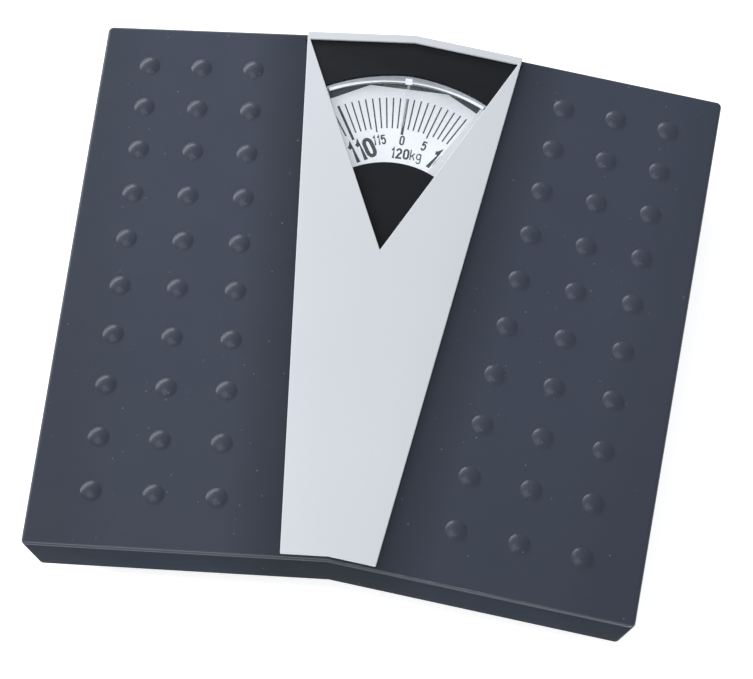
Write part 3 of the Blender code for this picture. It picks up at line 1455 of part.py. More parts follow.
def pan_rings(depth):
    """Rings from the floor's edge to the rim, on the surface that lies this deep in the sheet."""
    wall = PAN_INSET + PAN_DRAFT
    bend = PAN_BEND - depth
    half_turn = PAN_BEND - bend * math.cos(math.pi / 4)
    steps = [
        (wall + PAN_BEND, depth),
        (wall + half_turn, half_turn),
        (wall + depth, PAN_BEND),
        (PAN_INSET + depth, None),
    ]
    rings = []
    for inset, rise in steps:
        corners = inset_corners(platform_corners(), [inset] * 6)
        plan = rounded(corners, corner_radii(PAN_CORNER_RADIUS + PAN_INSET - inset), CORNER_STEPS)
        if rise is None:
            rings.append([(x, y, pan_rim_height(x)) for x, y in plan])
        else:
            rings.append([(x, y, PAN_UNDERSIDE + rise) for x, y in plan])
    return rings


def base_pan(pivot):
    """A pressed tray with a rim turned up inside the skirt and beads raised from its floor."""
    bm = bmesh.new()
    rings = [add_ring(bm, ring) for ring in pan_rings(0)]
    for first, second in zip(rings, rings[1:]):
        connect(bm, first, second)
    edges = ring_edges(bm, rings[0])
    for side in (-1, 1):
        edges += add_boss(bm, bead_rings(side * SIDE_BEAD_X, -SIDE_BEAD_HALF_LENGTH, SIDE_BEAD_HALF_LENGTH))
        edges += add_boss(bm, bead_rings(side * FRONT_BEAD_X, FRONT_BEAD_START_Y, FRONT_BEAD_END_Y))
    fill_sheet(bm, edges)
    wall = [vert for ring in rings for vert in ring]
    floor = [vert for vert in bm.verts if vert not in set(wall)]
    inner_wall = [place for ring in pan_rings(PAN_SHEET) for place in ring]
    close_sheet(bm, wall + floor, inner_wall + lifted(floor, PAN_SHEET))
    pan = finish_piece("base_pan", bm, pan_enamel(), pivot, smooth=True)
    start = (MECHANISM_X, PAN_BACK_FACE - PAN_SHEET - PAN_DRAFT - PAN_BEND, SPRING_HEIGHT)
    reach = 2 * (PAN_SHEET + PAN_DRAFT) + PAN_BEND
    cut(pan, cylinder(start, SCREW_RADIUS + SLOT_CLEARANCE, reach, "Y"))
    return pan


def foot(name, centre_x, y, pivot):
    """A rubber pad with chamfered edges and a shallow recess in its tread."""
    top = PAN_UNDERSIDE - GAP
    profile = [
        (0, FOOT_RECESS),
        (FOOT_RECESS_RADIUS, FOOT_RECESS),
        (FOOT_RECESS_RADIUS, 0),
        (FOOT_RADIUS - FOOT_CHAMFER, 0),
        (FOOT_RADIUS, FOOT_CHAMFER),
        (FOOT_RADIUS, top - FOOT_CHAMFER),
        (FOOT_RADIUS - FOOT_CHAMFER, top),
        (0, top),
    ]
    bm = revolve(profile, (centre_x, y, 0), sides=FOOT_SIDES)
    return finish_piece(name, bm, foot_rubber(), pivot, smooth=True)


# Assembly


def build_base(pivot):
    base_pan(pivot)
    for side, side_name in ((-1, "left"), (1, "right")):
        for y, end_name in ((-FULCRUM_Y, "front"), (FULCRUM_Y, "back")):
            foot(f"foot_{end_name}_{side_name}", side * FULCRUM_X, y, pivot)
            fulcrum_bracket(f"fulcrum_bracket_{end_name}_{side_name}", side * FULCRUM_X, y, pivot)
        hook_plate(f"lower_hook_plate_{side_name}", side, False, pivot)
        hold_down_spring(f"hold_down_spring_{side_name}", side, pivot)
    crank_bracket(pivot)
    crank_pin(pivot)
    dial_bridge(pivot)
    pivot_post(pivot)
    rack_guide(pivot)
    spring_anchor(pivot)
    main_spring(pivot)


def build_platform(pivot):
    platform_shell(pivot)
    centre_strip(pivot)
    dial_mask(pivot)
    dial_lens(pivot)
    for side, side_name in ((-1, "left"), (1, "right")):
        for y, end_name in ((-FULCRUM_Y + LOAD_ARM, "front"), (FULCRUM_Y - LOAD_ARM, "back")):
            load_bracket(f"load_bracket_{end_name}_{side_name}", side * FULCRUM_X, y, pivot)
        hook_plate(f"upper_hook_plate_{side_name}", side, True, pivot)


def build_long_levers(pivot):
    knives = {"fulcrum": -FULCRUM_Y, "load": -FULCRUM_Y + LOAD_ARM}
    for side, side_name in ((-1, "left"), (1, "right")):
        lever(f"long_lever_{side_name}", long_lever_path(side), knives.values(), pivot)
        for use, y in knives.items():
            knife_bar(f"{use}_knife_front_{side_name}", side * FULCRUM_X, y, pivot)
    lever_nose_plate(pivot)


def build_short_lever(side, side_name, pivot):
    knives = {"fulcrum": FULCRUM_Y, "load": FULCRUM_Y - LOAD_ARM}
    lever(f"short_lever_{side_name}", short_lever_path(side), knives.values(), pivot)
    for use, y in knives.items():
        knife_bar(f"{use}_knife_back_{side_name}", side * FULCRUM_X, y, pivot)
    link_strap(f"link_strap_{side_name}", side, pivot)


def main():
    clear_scene()
    build_base(joint_pivot("base", (0, 0, 0)))
    build_platform(joint_pivot("platform_press", (0, 0, RIDGE_HEIGHT)))
    build_long_levers(joint_pivot("long_lever_swing", (0, -FULCRUM_Y, LEVER_AXIS_HEIGHT)))
    for side, side_name in ((-1, "left"), (1, "right")):
        axis_place = (side * FULCRUM_X, FULCRUM_Y, LEVER_AXIS_HEIGHT)
        build_short_lever(side, side_name, joint_pivot(f"short_lever_{side_name}_swing", axis_place))
    bell_crank(joint_pivot("crank_swing", (MECHANISM_X, CRANK_Y, CRANK_PIVOT_HEIGHT)))
    rack(joint_pivot("rack_slide", (MECHANISM_X, DIAL_Y, RACK_HEIGHT)))
    dial_pivot = joint_pivot("dial_spin", (0, DIAL_Y, DIAL_UNDERSIDE))
    dial_disc(dial_pivot)
    dial_hub(dial_pivot)
    dial_spindle(dial_pivot)
    adjusting_screw(joint_pivot("screw_slide", (MECHANISM_X, SCREW_EYE_Y, SPRING_HEIGHT)))
    zero_wheel(joint_pivot("zero_wheel_spin", (MECHANISM_X, PAN_BACK_FACE, SPRING_HEIGHT)))


main()
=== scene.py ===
# Mechanical bathroom scale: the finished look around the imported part.
# Metres, +Z up, +Y to the back edge where the dial is read.

import json
import math

import bmesh
import bpy
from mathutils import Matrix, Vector
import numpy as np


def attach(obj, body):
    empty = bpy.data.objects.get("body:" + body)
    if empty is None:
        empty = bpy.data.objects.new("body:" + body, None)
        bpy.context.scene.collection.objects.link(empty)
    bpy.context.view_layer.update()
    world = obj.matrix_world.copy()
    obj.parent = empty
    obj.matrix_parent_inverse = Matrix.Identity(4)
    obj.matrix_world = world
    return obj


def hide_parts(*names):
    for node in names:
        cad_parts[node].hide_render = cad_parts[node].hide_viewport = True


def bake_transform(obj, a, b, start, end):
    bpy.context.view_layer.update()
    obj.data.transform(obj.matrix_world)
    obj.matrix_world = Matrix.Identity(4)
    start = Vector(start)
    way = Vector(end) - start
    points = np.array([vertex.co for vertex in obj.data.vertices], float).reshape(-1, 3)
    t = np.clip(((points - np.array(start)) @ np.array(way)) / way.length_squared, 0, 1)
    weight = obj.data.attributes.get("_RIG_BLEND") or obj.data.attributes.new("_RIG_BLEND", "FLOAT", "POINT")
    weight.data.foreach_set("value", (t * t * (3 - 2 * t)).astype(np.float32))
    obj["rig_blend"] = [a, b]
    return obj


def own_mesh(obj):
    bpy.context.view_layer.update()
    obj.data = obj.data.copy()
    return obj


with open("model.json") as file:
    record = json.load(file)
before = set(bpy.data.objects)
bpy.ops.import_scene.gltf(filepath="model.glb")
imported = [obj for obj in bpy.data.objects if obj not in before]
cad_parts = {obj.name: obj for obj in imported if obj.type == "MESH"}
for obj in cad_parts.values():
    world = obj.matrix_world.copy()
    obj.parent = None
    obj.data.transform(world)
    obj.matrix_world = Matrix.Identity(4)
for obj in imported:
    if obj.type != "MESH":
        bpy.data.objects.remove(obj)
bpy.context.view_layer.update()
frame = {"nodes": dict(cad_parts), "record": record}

bodyOf = {node: body for body, members in frame["record"]["behaviour"]["bodies"].items() for node in members}
gap = 0.0003  # between pieces that touch
weld = 2e-6  # corners nearer than this become one
flatMargin = 0.0006  # from a bend to the first ring on the flat
sides = ((-1, "left"), (1, "right"))


# Plane outlines

def insetCorners(corners, insets):
    lines = []
    for start, end, inset in zip(corners, corners[1:] + corners[:1], insets):
        along = (Vector(end) - Vector(start)).normalized()
        lines.append((Vector(start) + Vector((-along.y, along.x)) * inset, along))
    moved = []
    for index, (point, along) in enumerate(lines):
        before, beforeAlong = lines[index - 1]
        offset = point - before
        cross = beforeAlong.x * along.y - beforeAlong.y * along.x
        moved.append(tuple(before + beforeAlong * ((offset.x * along.y - offset.y * along.x) / cross)))
    return moved


def rounded(corners, radii, steps):
    points = []
    for index, (corner, radius) in enumerate(zip(corners, radii)):
        if radius <= 0:
            points.append(tuple(corner))
            continue
        tip = Vector(corner)
        back = (Vector(corners[index - 1]) - tip).normalized()
        ahead = (Vector(corners[(index + 1) % len(corners)]) - tip).normalized()
        half = back.angle(ahead) / 2
        centre = tip + (back + ahead).normalized() * (radius / math.sin(half))
        first = tip + back * (radius / math.tan(half)) - centre
        last = tip + ahead * (radius / math.tan(half)) - centre
        turn = first.angle_signed(last)
        for step in range(steps + 1):
            angle = -turn * step / steps
            cosine, sine = math.cos(angle), math.sin(angle)
            x, y = first.x * cosine - first.y * sine, first.x * sine + first.y * cosine
            points.append((centre.x + x, centre.y + y))
    return points


def circlePoints(centre, radius, count, start=0.0):
    turns = [start + 2 * math.pi * index / count for index in range(count)]
    return [(centre[0] + radius * math.cos(turn), centre[1] + radius * math.sin(turn)) for turn in turns]


# Meshes

def ringOf(bm, points):
    return [bm.verts.new(point) for point in points]


def joinRings(bm, rings):
    for first, second in zip(rings, rings[1:]):
        for index in range(len(first)):
            after = (index + 1) % len(first)
            bm.faces.new((first[index], first[after], second[after], second[index]))


def edgesOf(bm, ring):
    return [bm.edges.get((a, b)) or bm.edges.new((a, b)) for a, b in zip(ring, ring[1:] + ring[:1])]


def fillFlat(bm, edges):
    bmesh.ops.triangle_fill(bm, use_beauty=True, use_dissolve=False, edges=edges, normal=(0, 0, 1))


def closeSheet(bm, outer, inner):
    # the sheet's other face, and the walls at its open edges
    faces, boundary = list(bm.faces), [edge for edge in bm.edges if edge.is_boundary]
    partner = dict(zip(outer, ringOf(bm, inner)))
    for face in faces:
        bm.faces.new([partner[corner] for corner in reversed(face.verts)])
    for edge in boundary:
        start, end = edge.verts
        bm.faces.new((start, end, partner[end], partner[start]))


def addAlong(bm, rows):
    # joins closed sections that follow each other along a path, and shuts both ends
    rings = [ringOf(bm, row) for row in rows]
    joinRings(bm, rings)
    bm.faces.new(rings[0][::-1])
    bm.faces.new(rings[-1])


def addPrism(bm, outline, low, high):
    addAlong(bm, [[(x, y, z) for x, y in outline] for z in (low, high)])


def addLathe(bm, profile, centre, count):
    rings = []
    for radius, height in profile:
        if radius == 0:
            rings.append([bm.verts.new((centre[0], centre[1], centre[2] + height))])
        else:
            spots = circlePoints(centre, radius, count)
            rings.append(ringOf(bm, [(x, y, centre[2] + height) for x, y in spots]))
    for first, second in zip(rings, rings[1:]):
        if len(first) > 1 and len(second) > 1:
            joinRings(bm, [first, second])
            continue
        pole, ring = (first[0], second) if len(first) == 1 else (second[0], first)
        for index in range(count):
            bm.faces.new((pole, ring[index], ring[(index + 1) % count]))


def meshFrom(name, bm, recalc=True):
    bmesh.ops.remove_doubles(bm, verts=bm.verts, dist=weld)
    if recalc:
        bmesh.ops.recalc_face_normals(bm, faces=bm.faces)
    mesh = bpy.data.meshes.new(name)
    bm.to_mesh(mesh)
    bm.free()
    return mesh


# Objects

def placeObject(name, data):
    placed = bpy.data.objects.new(name, data)
    bpy.context.scene.collection.objects.link(placed)
    return placed


def plainMesh(holder):
    # what the object's modifiers make of it
    bpy.context.view_layer.update()
    depsgraph = bpy.context.evaluated_depsgraph_get()
    return bpy.data.meshes.new_from_object(holder.evaluated_get(depsgraph), depsgraph=depsgraph)


def newPiece(name, shape, material, body, slot, *nodes, sharp=35, bevel=None, bevelSteps=2):
    mesh = meshFrom(name, shape) if isinstance(shape, bmesh.types.BMesh) else shape
    piece = placeObject(name, mesh)
    mesh.materials.clear()
    for entry in material if isinstance(material, list) else [material]:
        mesh.materials.append(entry)
    mesh.shade_smooth()
    mesh.set_sharp_from_angle(angle=math.radians(sharp))
    if bevel:
        edge = piece.modifiers.new("softEdges", "BEVEL")
        edge.width, edge.segments, edge.limit_method = bevel, bevelSteps, "ANGLE"
        edge.angle_limit, edge.harden_normals = math.radians(30), True
    if body:  # a piece that bends between two bodies rides on neither
        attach(piece, body)
    if nodes:
        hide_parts(*nodes)
    return piece


def copyOfNode(node, material, slot, bevel):
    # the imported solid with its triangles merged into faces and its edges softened
    bm = bmesh.new()
    bm.from_mesh(frame["nodes"][node].data)
    bmesh.ops.remove_doubles(bm, verts=bm.verts, dist=weld)
    bmesh.ops.dissolve_limit(bm, angle_limit=math.radians(1), verts=bm.verts, edges=bm.edges)
    mesh = meshFrom(node + "Finish", bm, recalc=False)
    newPiece(node + "_finish", mesh, material, bodyOf[node], slot, node, bevel=bevel)


# Node trees

class NodeMaker:
    # adds nodes to one tree and wires them by position or by name
    def __init__(self, tree):
        self.tree = tree

    def feed(self, socket, value):
        if isinstance(value, bpy.types.NodeSocket):
            self.tree.links.new(value, socket)
        elif value is not None:
            socket.default_value = value

    def feedNamed(self, node, **values):
        for label, value in values.items():
            self.feed(node.inputs[label.replace("_", " ")], value)
        return node

    def add(self, kind, *values, **settings):
        node = self.tree.nodes.new(kind)
        for key, value in settings.items():
            setattr(node, key, value)
        for index, value in enumerate(values):
            self.feed(node.inputs[index], value)
        return node

    def maths(self, operation, *values):
        return self.add("ShaderNodeMath", *values, operation=operation).outputs[0]


class TreeMaker(NodeMaker):
    # Geometry Nodes with named inputs
    def __init__(self, name, sizes):
        super().__init__(bpy.data.node_groups.new(name, "GeometryNodeTree"))
        face = self.tree.interface
        face.new_socket("Geometry", in_out="INPUT", socket_type="NodeSocketGeometry")
        for label, kind in sizes.items():
            face.new_socket(label, in_out="INPUT", socket_type="NodeSocket" + kind)
        face.new_socket("Geometry", in_out="OUTPUT", socket_type="NodeSocketGeometry")
        self.inputs = self.tree.nodes.new("NodeGroupInput").outputs
        self.last = self.tree.nodes.new("NodeGroupOutput").inputs[0]

    def mix(self, first, last, share):
        return self.maths("MULTIPLY_ADD", self.maths("SUBTRACT", last, first), share, first)

    def vector(self, x, y, z):
        return self.add("ShaderNodeCombineXYZ", x, y, z).outputs[0]

    def shapeOf(self, label):
        info = self.add("GeometryNodeObjectInfo", self.inputs[label], transform_space="ORIGINAL")
        return info.outputs["Geometry"]

    def repeat(self, points, shape, **turnAndScale):
        placed = self.add("GeometryNodeInstanceOnPoints", points)
        return self.feedNamed(placed, Instance=shape, **turnAndScale).outputs[0]

    def finish(self, geometry):
        solid = self.add("GeometryNodeRealizeInstances", geometry).outputs[0]
        painted = self.add("GeometryNodeSetMaterial", solid)
        self.feedNamed(painted, Material=self.inputs["Paint"])
        self.tree.links.new(painted.outputs[0], self.last)
        return self.tree


def grow(name, tree, values, seedData=None):
    # runs a tree on a seed object and returns the result as a plain mesh
    seed = placeObject(name + "Seed", seedData or bpy.data.meshes.new(name + "Seed"))
    modifier = seed.modifiers.new(name, "NODES")
    modifier.node_group = tree
    for item in tree.interface.items_tree:
        if item.in_out == "INPUT" and item.name in values:
            modifier[item.identifier] = values[item.name]
    mesh = plainMesh(seed)
    seed.modifiers.remove(modifier)
    bpy.data.objects.remove(seed)
    mesh.name = name
    return mesh


# Materials: Object coordinates, in metres

class Paint(NodeMaker):
    def __init__(self, name, base, roughness, metallic=0.0, **extra):
        self.material = bpy.data.materials.new(name)
        self.material.use_nodes = True
        super().__init__(self.material.node_tree)
        self.shader = self.tree.nodes["Principled BSDF"]
        self.feedNamed(self.shader, Base_Color=(*base, 1), Roughness=roughness, Metallic=metallic, **extra)
        self.coordinates = self.tree.nodes.new("ShaderNodeTexCoord").outputs["Object"]
        self.height = None

    def noise(self, scale, detail, stretch=None):
        source = self.coordinates
        if stretch:
            source = self.feedNamed(self.add("ShaderNodeMapping", source), Scale=stretch).outputs[0]
        node = self.add("ShaderNodeTexNoise", source)
        return self.feedNamed(node, Scale=scale, Detail=detail, Roughness=0.55).outputs["Fac"]

    def span(self, value, low, high, fromLow=0.3, fromHigh=0.7):
        return self.add("ShaderNodeMapRange", value, fromLow, fromHigh, low, high).outputs[0]

    def axes(self, vector):
        return self.add("ShaderNodeSeparateXYZ", vector).outputs

    def tint(self, share, first, second):
        # blends two colours, either of which may be a socket
        node = self.add("ShaderNodeMix", share, data_type="RGBA")
        for socket, colour in ((node.inputs[6], first), (node.inputs[7], second)):
            self.feed(socket, colour if isinstance(colour, bpy.types.NodeSocket) else (*colour, 1))
        return node.outputs[2]

    def clouds(self, first, second, scale, detail, stretch=None):
        return self.tint(self.span(self.noise(scale, detail, stretch), 0, 1), first, second)

    def specks(self, under, colour, scale, size, strength):
        # small round dots at random places, as dust or pigment grains
        cells = self.feedNamed(self.add("ShaderNodeTexVoronoi", self.coordinates), Scale=scale)
        dot = self.span(cells.outputs["Distance"], 1.0, 0.0, size * 0.5, size)
        chance = self.add("ShaderNodeSeparateColor", cells.outputs["Color"]).outputs[0]
        shown = self.maths("MULTIPLY", dot, self.span(chance, 0.0, strength, 0.55, 1.0))
        return self.tint(shown, under, colour)

    def gloss(self, low, high, *grain):
        self.feedNamed(self.shader, Roughness=self.span(self.noise(*grain), low, high))

    def bump(self, distance, strength, *grain):
        height = self.noise(*grain)
        node = self.add("ShaderNodeBump")
        self.feedNamed(node, Strength=strength, Distance=distance, Height=height, Normal=self.height)
        self.height = node.outputs[0]
        self.feedNamed(self.shader, Normal=self.height)

    def level(self):
        # 1 where a face lies flat, 0 where it stands upright
        normal = self.add("ShaderNodeNewGeometry").outputs["Normal"]
        return self.span(self.axes(normal)[2], 0.0, 1.0, 0.3, 0.72)


def finishOf(name, base, roughness, metallic=0.0, clouds=None, specks=None, gloss=None, bump=None, **extra):
    # clouds: two colours, scale, detail; specks: colour, scale, size, strength
    # gloss: two roughnesses, scale, detail, stretch; bump: height, strength, scale, detail, stretch
    paint = Paint(name, base, roughness, metallic, **extra)
    tone = paint.clouds(*clouds) if clouds else base
    if specks:
        tone = paint.specks(tone, *specks)
    paint.feedNamed(paint.shader, Base_Color=tone)
    if gloss:
        paint.gloss(*gloss)
    if bump:
        paint.bump(*bump)
    return paint.material


# slate colours; 'shaded' is painted shade by the strip, rim and front, 'upright' is painted shade on the
# skirts
slateTones = {
    "base": (0.042, 0.050, 0.070), "clouds": ((0.0490, 0.0600, 0.0890), (0.0540, 0.0655, 0.0960)),
    "grain": (0.066, 0.079, 0.108), "upright": (0.0205, 0.0298, 0.0465), "shaded": (0.012, 0.014, 0.020),
    "dust": (0.22, 0.24, 0.28), "fineDust": (0.16, 0.18, 0.22),
    "stripHalf": 0.0365, "stripOpens": 0.1128,  # where the strip's edge lies, and how it runs out to the back
}


def slatePaint(name, sheen):
    tones = slateTones
    paint = Paint(name, tones["base"], 0.42, Specular_IOR_Level=0.18 * sheen,
                  Coat_Weight=0.20 * sheen, Coat_Roughness=0.17)
    clouds = paint.clouds(*tones["clouds"], 9, 2)
    grain = paint.tint(paint.span(paint.noise(1400, 2), 0, 0.35), clouds, tones["grain"])
    x, y = paint.axes(paint.coordinates)[:2]
    # painted shade: darker towards the strip, and a little at the rim and at the front
    stripEdge = paint.maths("MULTIPLY_ADD", y, tones["stripOpens"], tones["stripHalf"])
    fromStrip = paint.maths("SUBTRACT", paint.maths("ABSOLUTE", x), stripEdge)
    nearStrip = paint.span(fromStrip, 0.42, 1.0, -0.002, 0.026)
    nearRim = paint.span(fromStrip, 1.0, 0.85, 0.075, 0.100)
    nearFront = paint.span(y, 0.82, 1.0, -0.14, 0.02)
    paintedShade = paint.maths("MULTIPLY", paint.maths("MULTIPLY", nearStrip, nearRim), nearFront)
    # upright faces take the darker upright tone: painted shade on the skirts
    body = paint.tint(paintedShade, tones["shaded"], paint.tint(paint.level(), tones["upright"], grain))
    dusty = paint.specks(body, tones["dust"], 210, 0.11, 0.6)
    paint.feedNamed(paint.shader, Base_Color=paint.specks(dusty, tones["fineDust"], 520, 0.10, 0.4))
    paint.gloss(0.38, 0.46, 60, 4)
    paint.bump(0.00002, 0.5, 1100, 2)
    paint.bump(0.00025, 0.25, 26, 2)
    return paint.material


def clearWall():
    # cloudy above the bead, nearly clear below it, and painted lighter towards its foot as painted light
    paint = Paint("clearWall", (0.62, 0.66, 0.70), 0.15, Alpha=0.6, IOR=1.49)
    height = paint.axes(paint.coordinates)[2]
    streaks = paint.clouds((0.40, 0.44, 0.48), (0.62, 0.66, 0.70), 160, 3, (1, 1, 0.2))
    tone = paint.tint(paint.span(height, 0.0, 1.0, 0.0462, 0.0425), streaks, (0.86, 0.90, 0.94))
    paint.feedNamed(paint.shader, Base_Color=tone, Alpha=paint.span(height, 0.22, 0.62, 0.0428, 0.0431))
    return paint.material


# sheen: dull on the skirts as painted shade, bright on the front bend as a painted highlight line
slate, shadedSkirtSlate = slatePaint("slatePaint", 1), slatePaint("slateSkirt", 0.08)
highlightBendSlate = slatePaint("slateBend", 3.6)
silver = finishOf("silverTrim", (0.74, 0.77, 0.82), 0.38, 0.05,
                  clouds=((0.725, 0.755, 0.805), (0.755, 0.785, 0.835), 7, 2),
                  specks=((0.82, 0.85, 0.89), 1500, 0.35, 0.5),
                  gloss=(0.35, 0.43, 700, 2), bump=(0.00001, 0.5, 1600, 2))
black = finishOf("maskBlack", (0.0125, 0.0145, 0.018), 0.42, Specular_IOR_Level=0.18,
                 specks=((0.06, 0.07, 0.08), 420, 0.08, 0.5),
                 gloss=(0.38, 0.46, 120, 3), bump=(0.00001, 0.5, 2200, 2))
# the dial's white glows a little: painted light that lifts it where the mask's shade falls on it
white = finishOf("dialWhite", (0.76, 0.80, 0.84), 0.5,
                 Emission_Color=(0.90, 0.95, 1.0, 1), Emission_Strength=0.30,
                 clouds=((0.86, 0.90, 0.945), (0.90, 0.93, 0.965), 22, 3), bump=(0.00001, 0.4, 900, 2))
ink = finishOf("dialInk", (0.014, 0.016, 0.020), 0.6, Specular_IOR_Level=0.2,
               clouds=((0.011, 0.012, 0.015), (0.020, 0.022, 0.027), 2600, 3))

# the lens: its edges are painted near white and made to glow as painted highlights, and its thick sides hide
# most of what lies under them
clear = finishOf("clearPlastic", (0.80, 0.86, 0.92), 0.04, Alpha=0.06, IOR=1.49,
                 clouds=((0.78, 0.84, 0.90), (0.84, 0.89, 0.94), 30, 2), gloss=(0.03, 0.07, 90, 3))
wallClear = clearWall()
lit = (0.92, 0.96, 1.0, 1)
# painted highlight: near white with a glow, on the lens's rim bead and pointer block
edgeLight = finishOf("clearEdge", (0.92, 0.95, 0.98), 0.12, Alpha=0.85, IOR=1.49,
                     Emission_Color=lit, Emission_Strength=0.3,
                     clouds=((0.80, 0.84, 0.88), (0.96, 0.98, 1.0), 420, 3))
# painted light: a faint glow on the lens's sides
sideClear = finishOf("clearSide", (0.80, 0.84, 0.88), 0.2, Alpha=0.9, IOR=1.49,
                     Emission_Color=lit, Emission_Strength=0.1,
                     clouds=((0.76, 0.80, 0.84), (0.84, 0.88, 0.92), 300, 3))

zinc = finishOf("zincSteel", (0.56, 0.57, 0.56), 0.34, 0.9,
                clouds=((0.47, 0.48, 0.475), (0.62, 0.625, 0.61), 55, 4),
                specks=((0.36, 0.365, 0.36), 700, 0.2, 0.5),
                gloss=(0.27, 0.46, 240, 3, (1, 0.12, 1)), bump=(0.00003, 0.4, 380, 3, (1, 0.06, 1)))
wire = finishOf("springSteel", (0.42, 0.43, 0.45), 0.28, 1.0,
                clouds=((0.34, 0.35, 0.37), (0.50, 0.51, 0.53), 260, 3), gloss=(0.22, 0.36, 900, 2))
brass = finishOf("turnedBrass", (0.68, 0.50, 0.22), 0.28, 1.0,
                 clouds=((0.58, 0.42, 0.18), (0.74, 0.56, 0.27), 180, 3),
                 gloss=(0.2, 0.38, 1200, 2, (1, 1, 0.1)))
enamel = finishOf("panEnamel", (0.11, 0.115, 0.13), 0.45,
                  clouds=((0.095, 0.1, 0.114), (0.125, 0.13, 0.146), 14, 3),
                  specks=((0.21, 0.215, 0.23), 260, 0.12, 0.5),
                  gloss=(0.4, 0.52, 80, 3), bump=(0.00004, 0.5, 700, 2))
rubber = finishOf("footRubber", (0.03, 0.03, 0.032), 0.8,
                  clouds=((0.023, 0.023, 0.025), (0.045, 0.045, 0.047), 150, 4), bump=(0.00006, 0.7, 1500, 3))
knob = finishOf("wheelPlastic", (0.022, 0.023, 0.026), 0.5,
                clouds=((0.018, 0.019, 0.022), (0.028, 0.03, 0.034), 300, 3), bump=(0.00003, 0.6, 1800, 2))
print("materials ready")


# Folded platform: built flat, then a tree folds it along the ridge

platform = {
    "backWidth": 0.300, "frontWidth": 0.2767, "length": 0.2741, "ridgeHeight": 0.0475,
    "fall": 0.07,  # of the wings, per metre from the ridge
    "chevron": 0.0563,  # how far the ends run back, per metre
    "skirt": 0.023, "sheet": 0.0012, "bend": 0.0014, "bendSteps": 6, "corner": 0.0025, "cornerSteps": 6,
    "sideLean": 0.0055, "backLean": 0.0055, "frontLean": 0.0004,
    "skirtBelow": 0.3, "bendBelow": 0.95, "frontBelow": -0.25,  # how a face is turned, to choose its paint
}
strip = {
    "backWidth": 0.10475, "frontWidth": 0.04295, "sheet": 0.0012, "overhang": 0.00055, "frontMargin": 0.002,
}
window = {"width": 0.1012, "length": 0.1138, "backMargin": 0.00355, "sideCut": 0.002, "backCut": 0.0003}

backY = (platform["length"] + platform["chevron"] * platform["frontWidth"] / 2 - strip["overhang"]) / 2
frontY = backY - platform["length"]
windowBackY = backY - window["backMargin"]
leans = [platform[key] for key in ("backLean", "sideLean", "frontLean", "frontLean", "sideLean", "backLean")]


def foldHeight(x):
    return platform["ridgeHeight"] - platform["fall"] * abs(x)


def edgePoint(halfWidth, y):
    return (halfWidth, y - platform["chevron"] * abs(halfWidth))


def platformCorners():
    back, front = platform["backWidth"] / 2, platform["frontWidth"] / 2
    return [
        (0, backY), edgePoint(-back, backY), edgePoint(-front, frontY),
        (0, frontY), edgePoint(front, frontY), edgePoint(back, backY),
    ]


def windowCorners(sideMargin=0.0, backMargin=0.0):
    half, apex = window["width"] / 2, (0, windowBackY - window["length"])
    corners = [(0, windowBackY), edgePoint(-half, windowBackY), apex, edgePoint(half, windowBackY)]
    return insetCorners(corners, (-backMargin, -sideMargin, -sideMargin, -backMargin))


def foldTree():
    maker = TreeMaker("foldAlongRidge", {"Ridge height": "Float", "Fall": "Float", "Paint": "Material"})
    place = maker.add("GeometryNodeInputPosition").outputs[0]
    x = maker.add("ShaderNodeSeparateXYZ", place).outputs[0]
    drop = maker.maths("MULTIPLY", maker.maths("ABSOLUTE", x), maker.inputs["Fall"])
    rise = maker.maths("SUBTRACT", maker.inputs["Ridge height"], drop)
    moved = maker.add("GeometryNodeSetPosition", maker.inputs["Geometry"])
    return maker.finish(maker.feedNamed(moved, Offset=maker.vector(0.0, 0.0, rise)).outputs[0])


foldSheet = foldTree()


def folded(name, flat, material):
    values = {"Ridge height": platform["ridgeHeight"], "Fall": platform["fall"], "Paint": material}
    return grow(name, foldSheet, values, flat)


def sheetRings(sizes, insetTop, leansOf, skirtDrop, depth, cornerRadius):
    # rings round a pressed tray, from its flat to the rim, on the face this deep in the sheet
    bend, steps, rings = sizes["bend"], sizes["bendSteps"], []
    levels = [(insetTop + bend + flatMargin, depth)]
    for step in range(steps + 1):
        angle = math.pi / 2 * step / steps
        reach = bend - depth
        levels.append((insetTop + bend - reach * math.sin(angle), bend - reach * math.cos(angle)))
    shapes = [([inset] * 6, cornerRadius - (inset - insetTop), drop) for inset, drop in levels]
    shapes.append(([lean + depth for lean in leansOf], cornerRadius - depth, skirtDrop))
    for insets, radius, drop in shapes:
        corners = insetCorners(platformCorners(), insets)
        rings.append((rounded(corners, (0, radius, radius) * 2, sizes["cornerSteps"]), drop))
    return rings


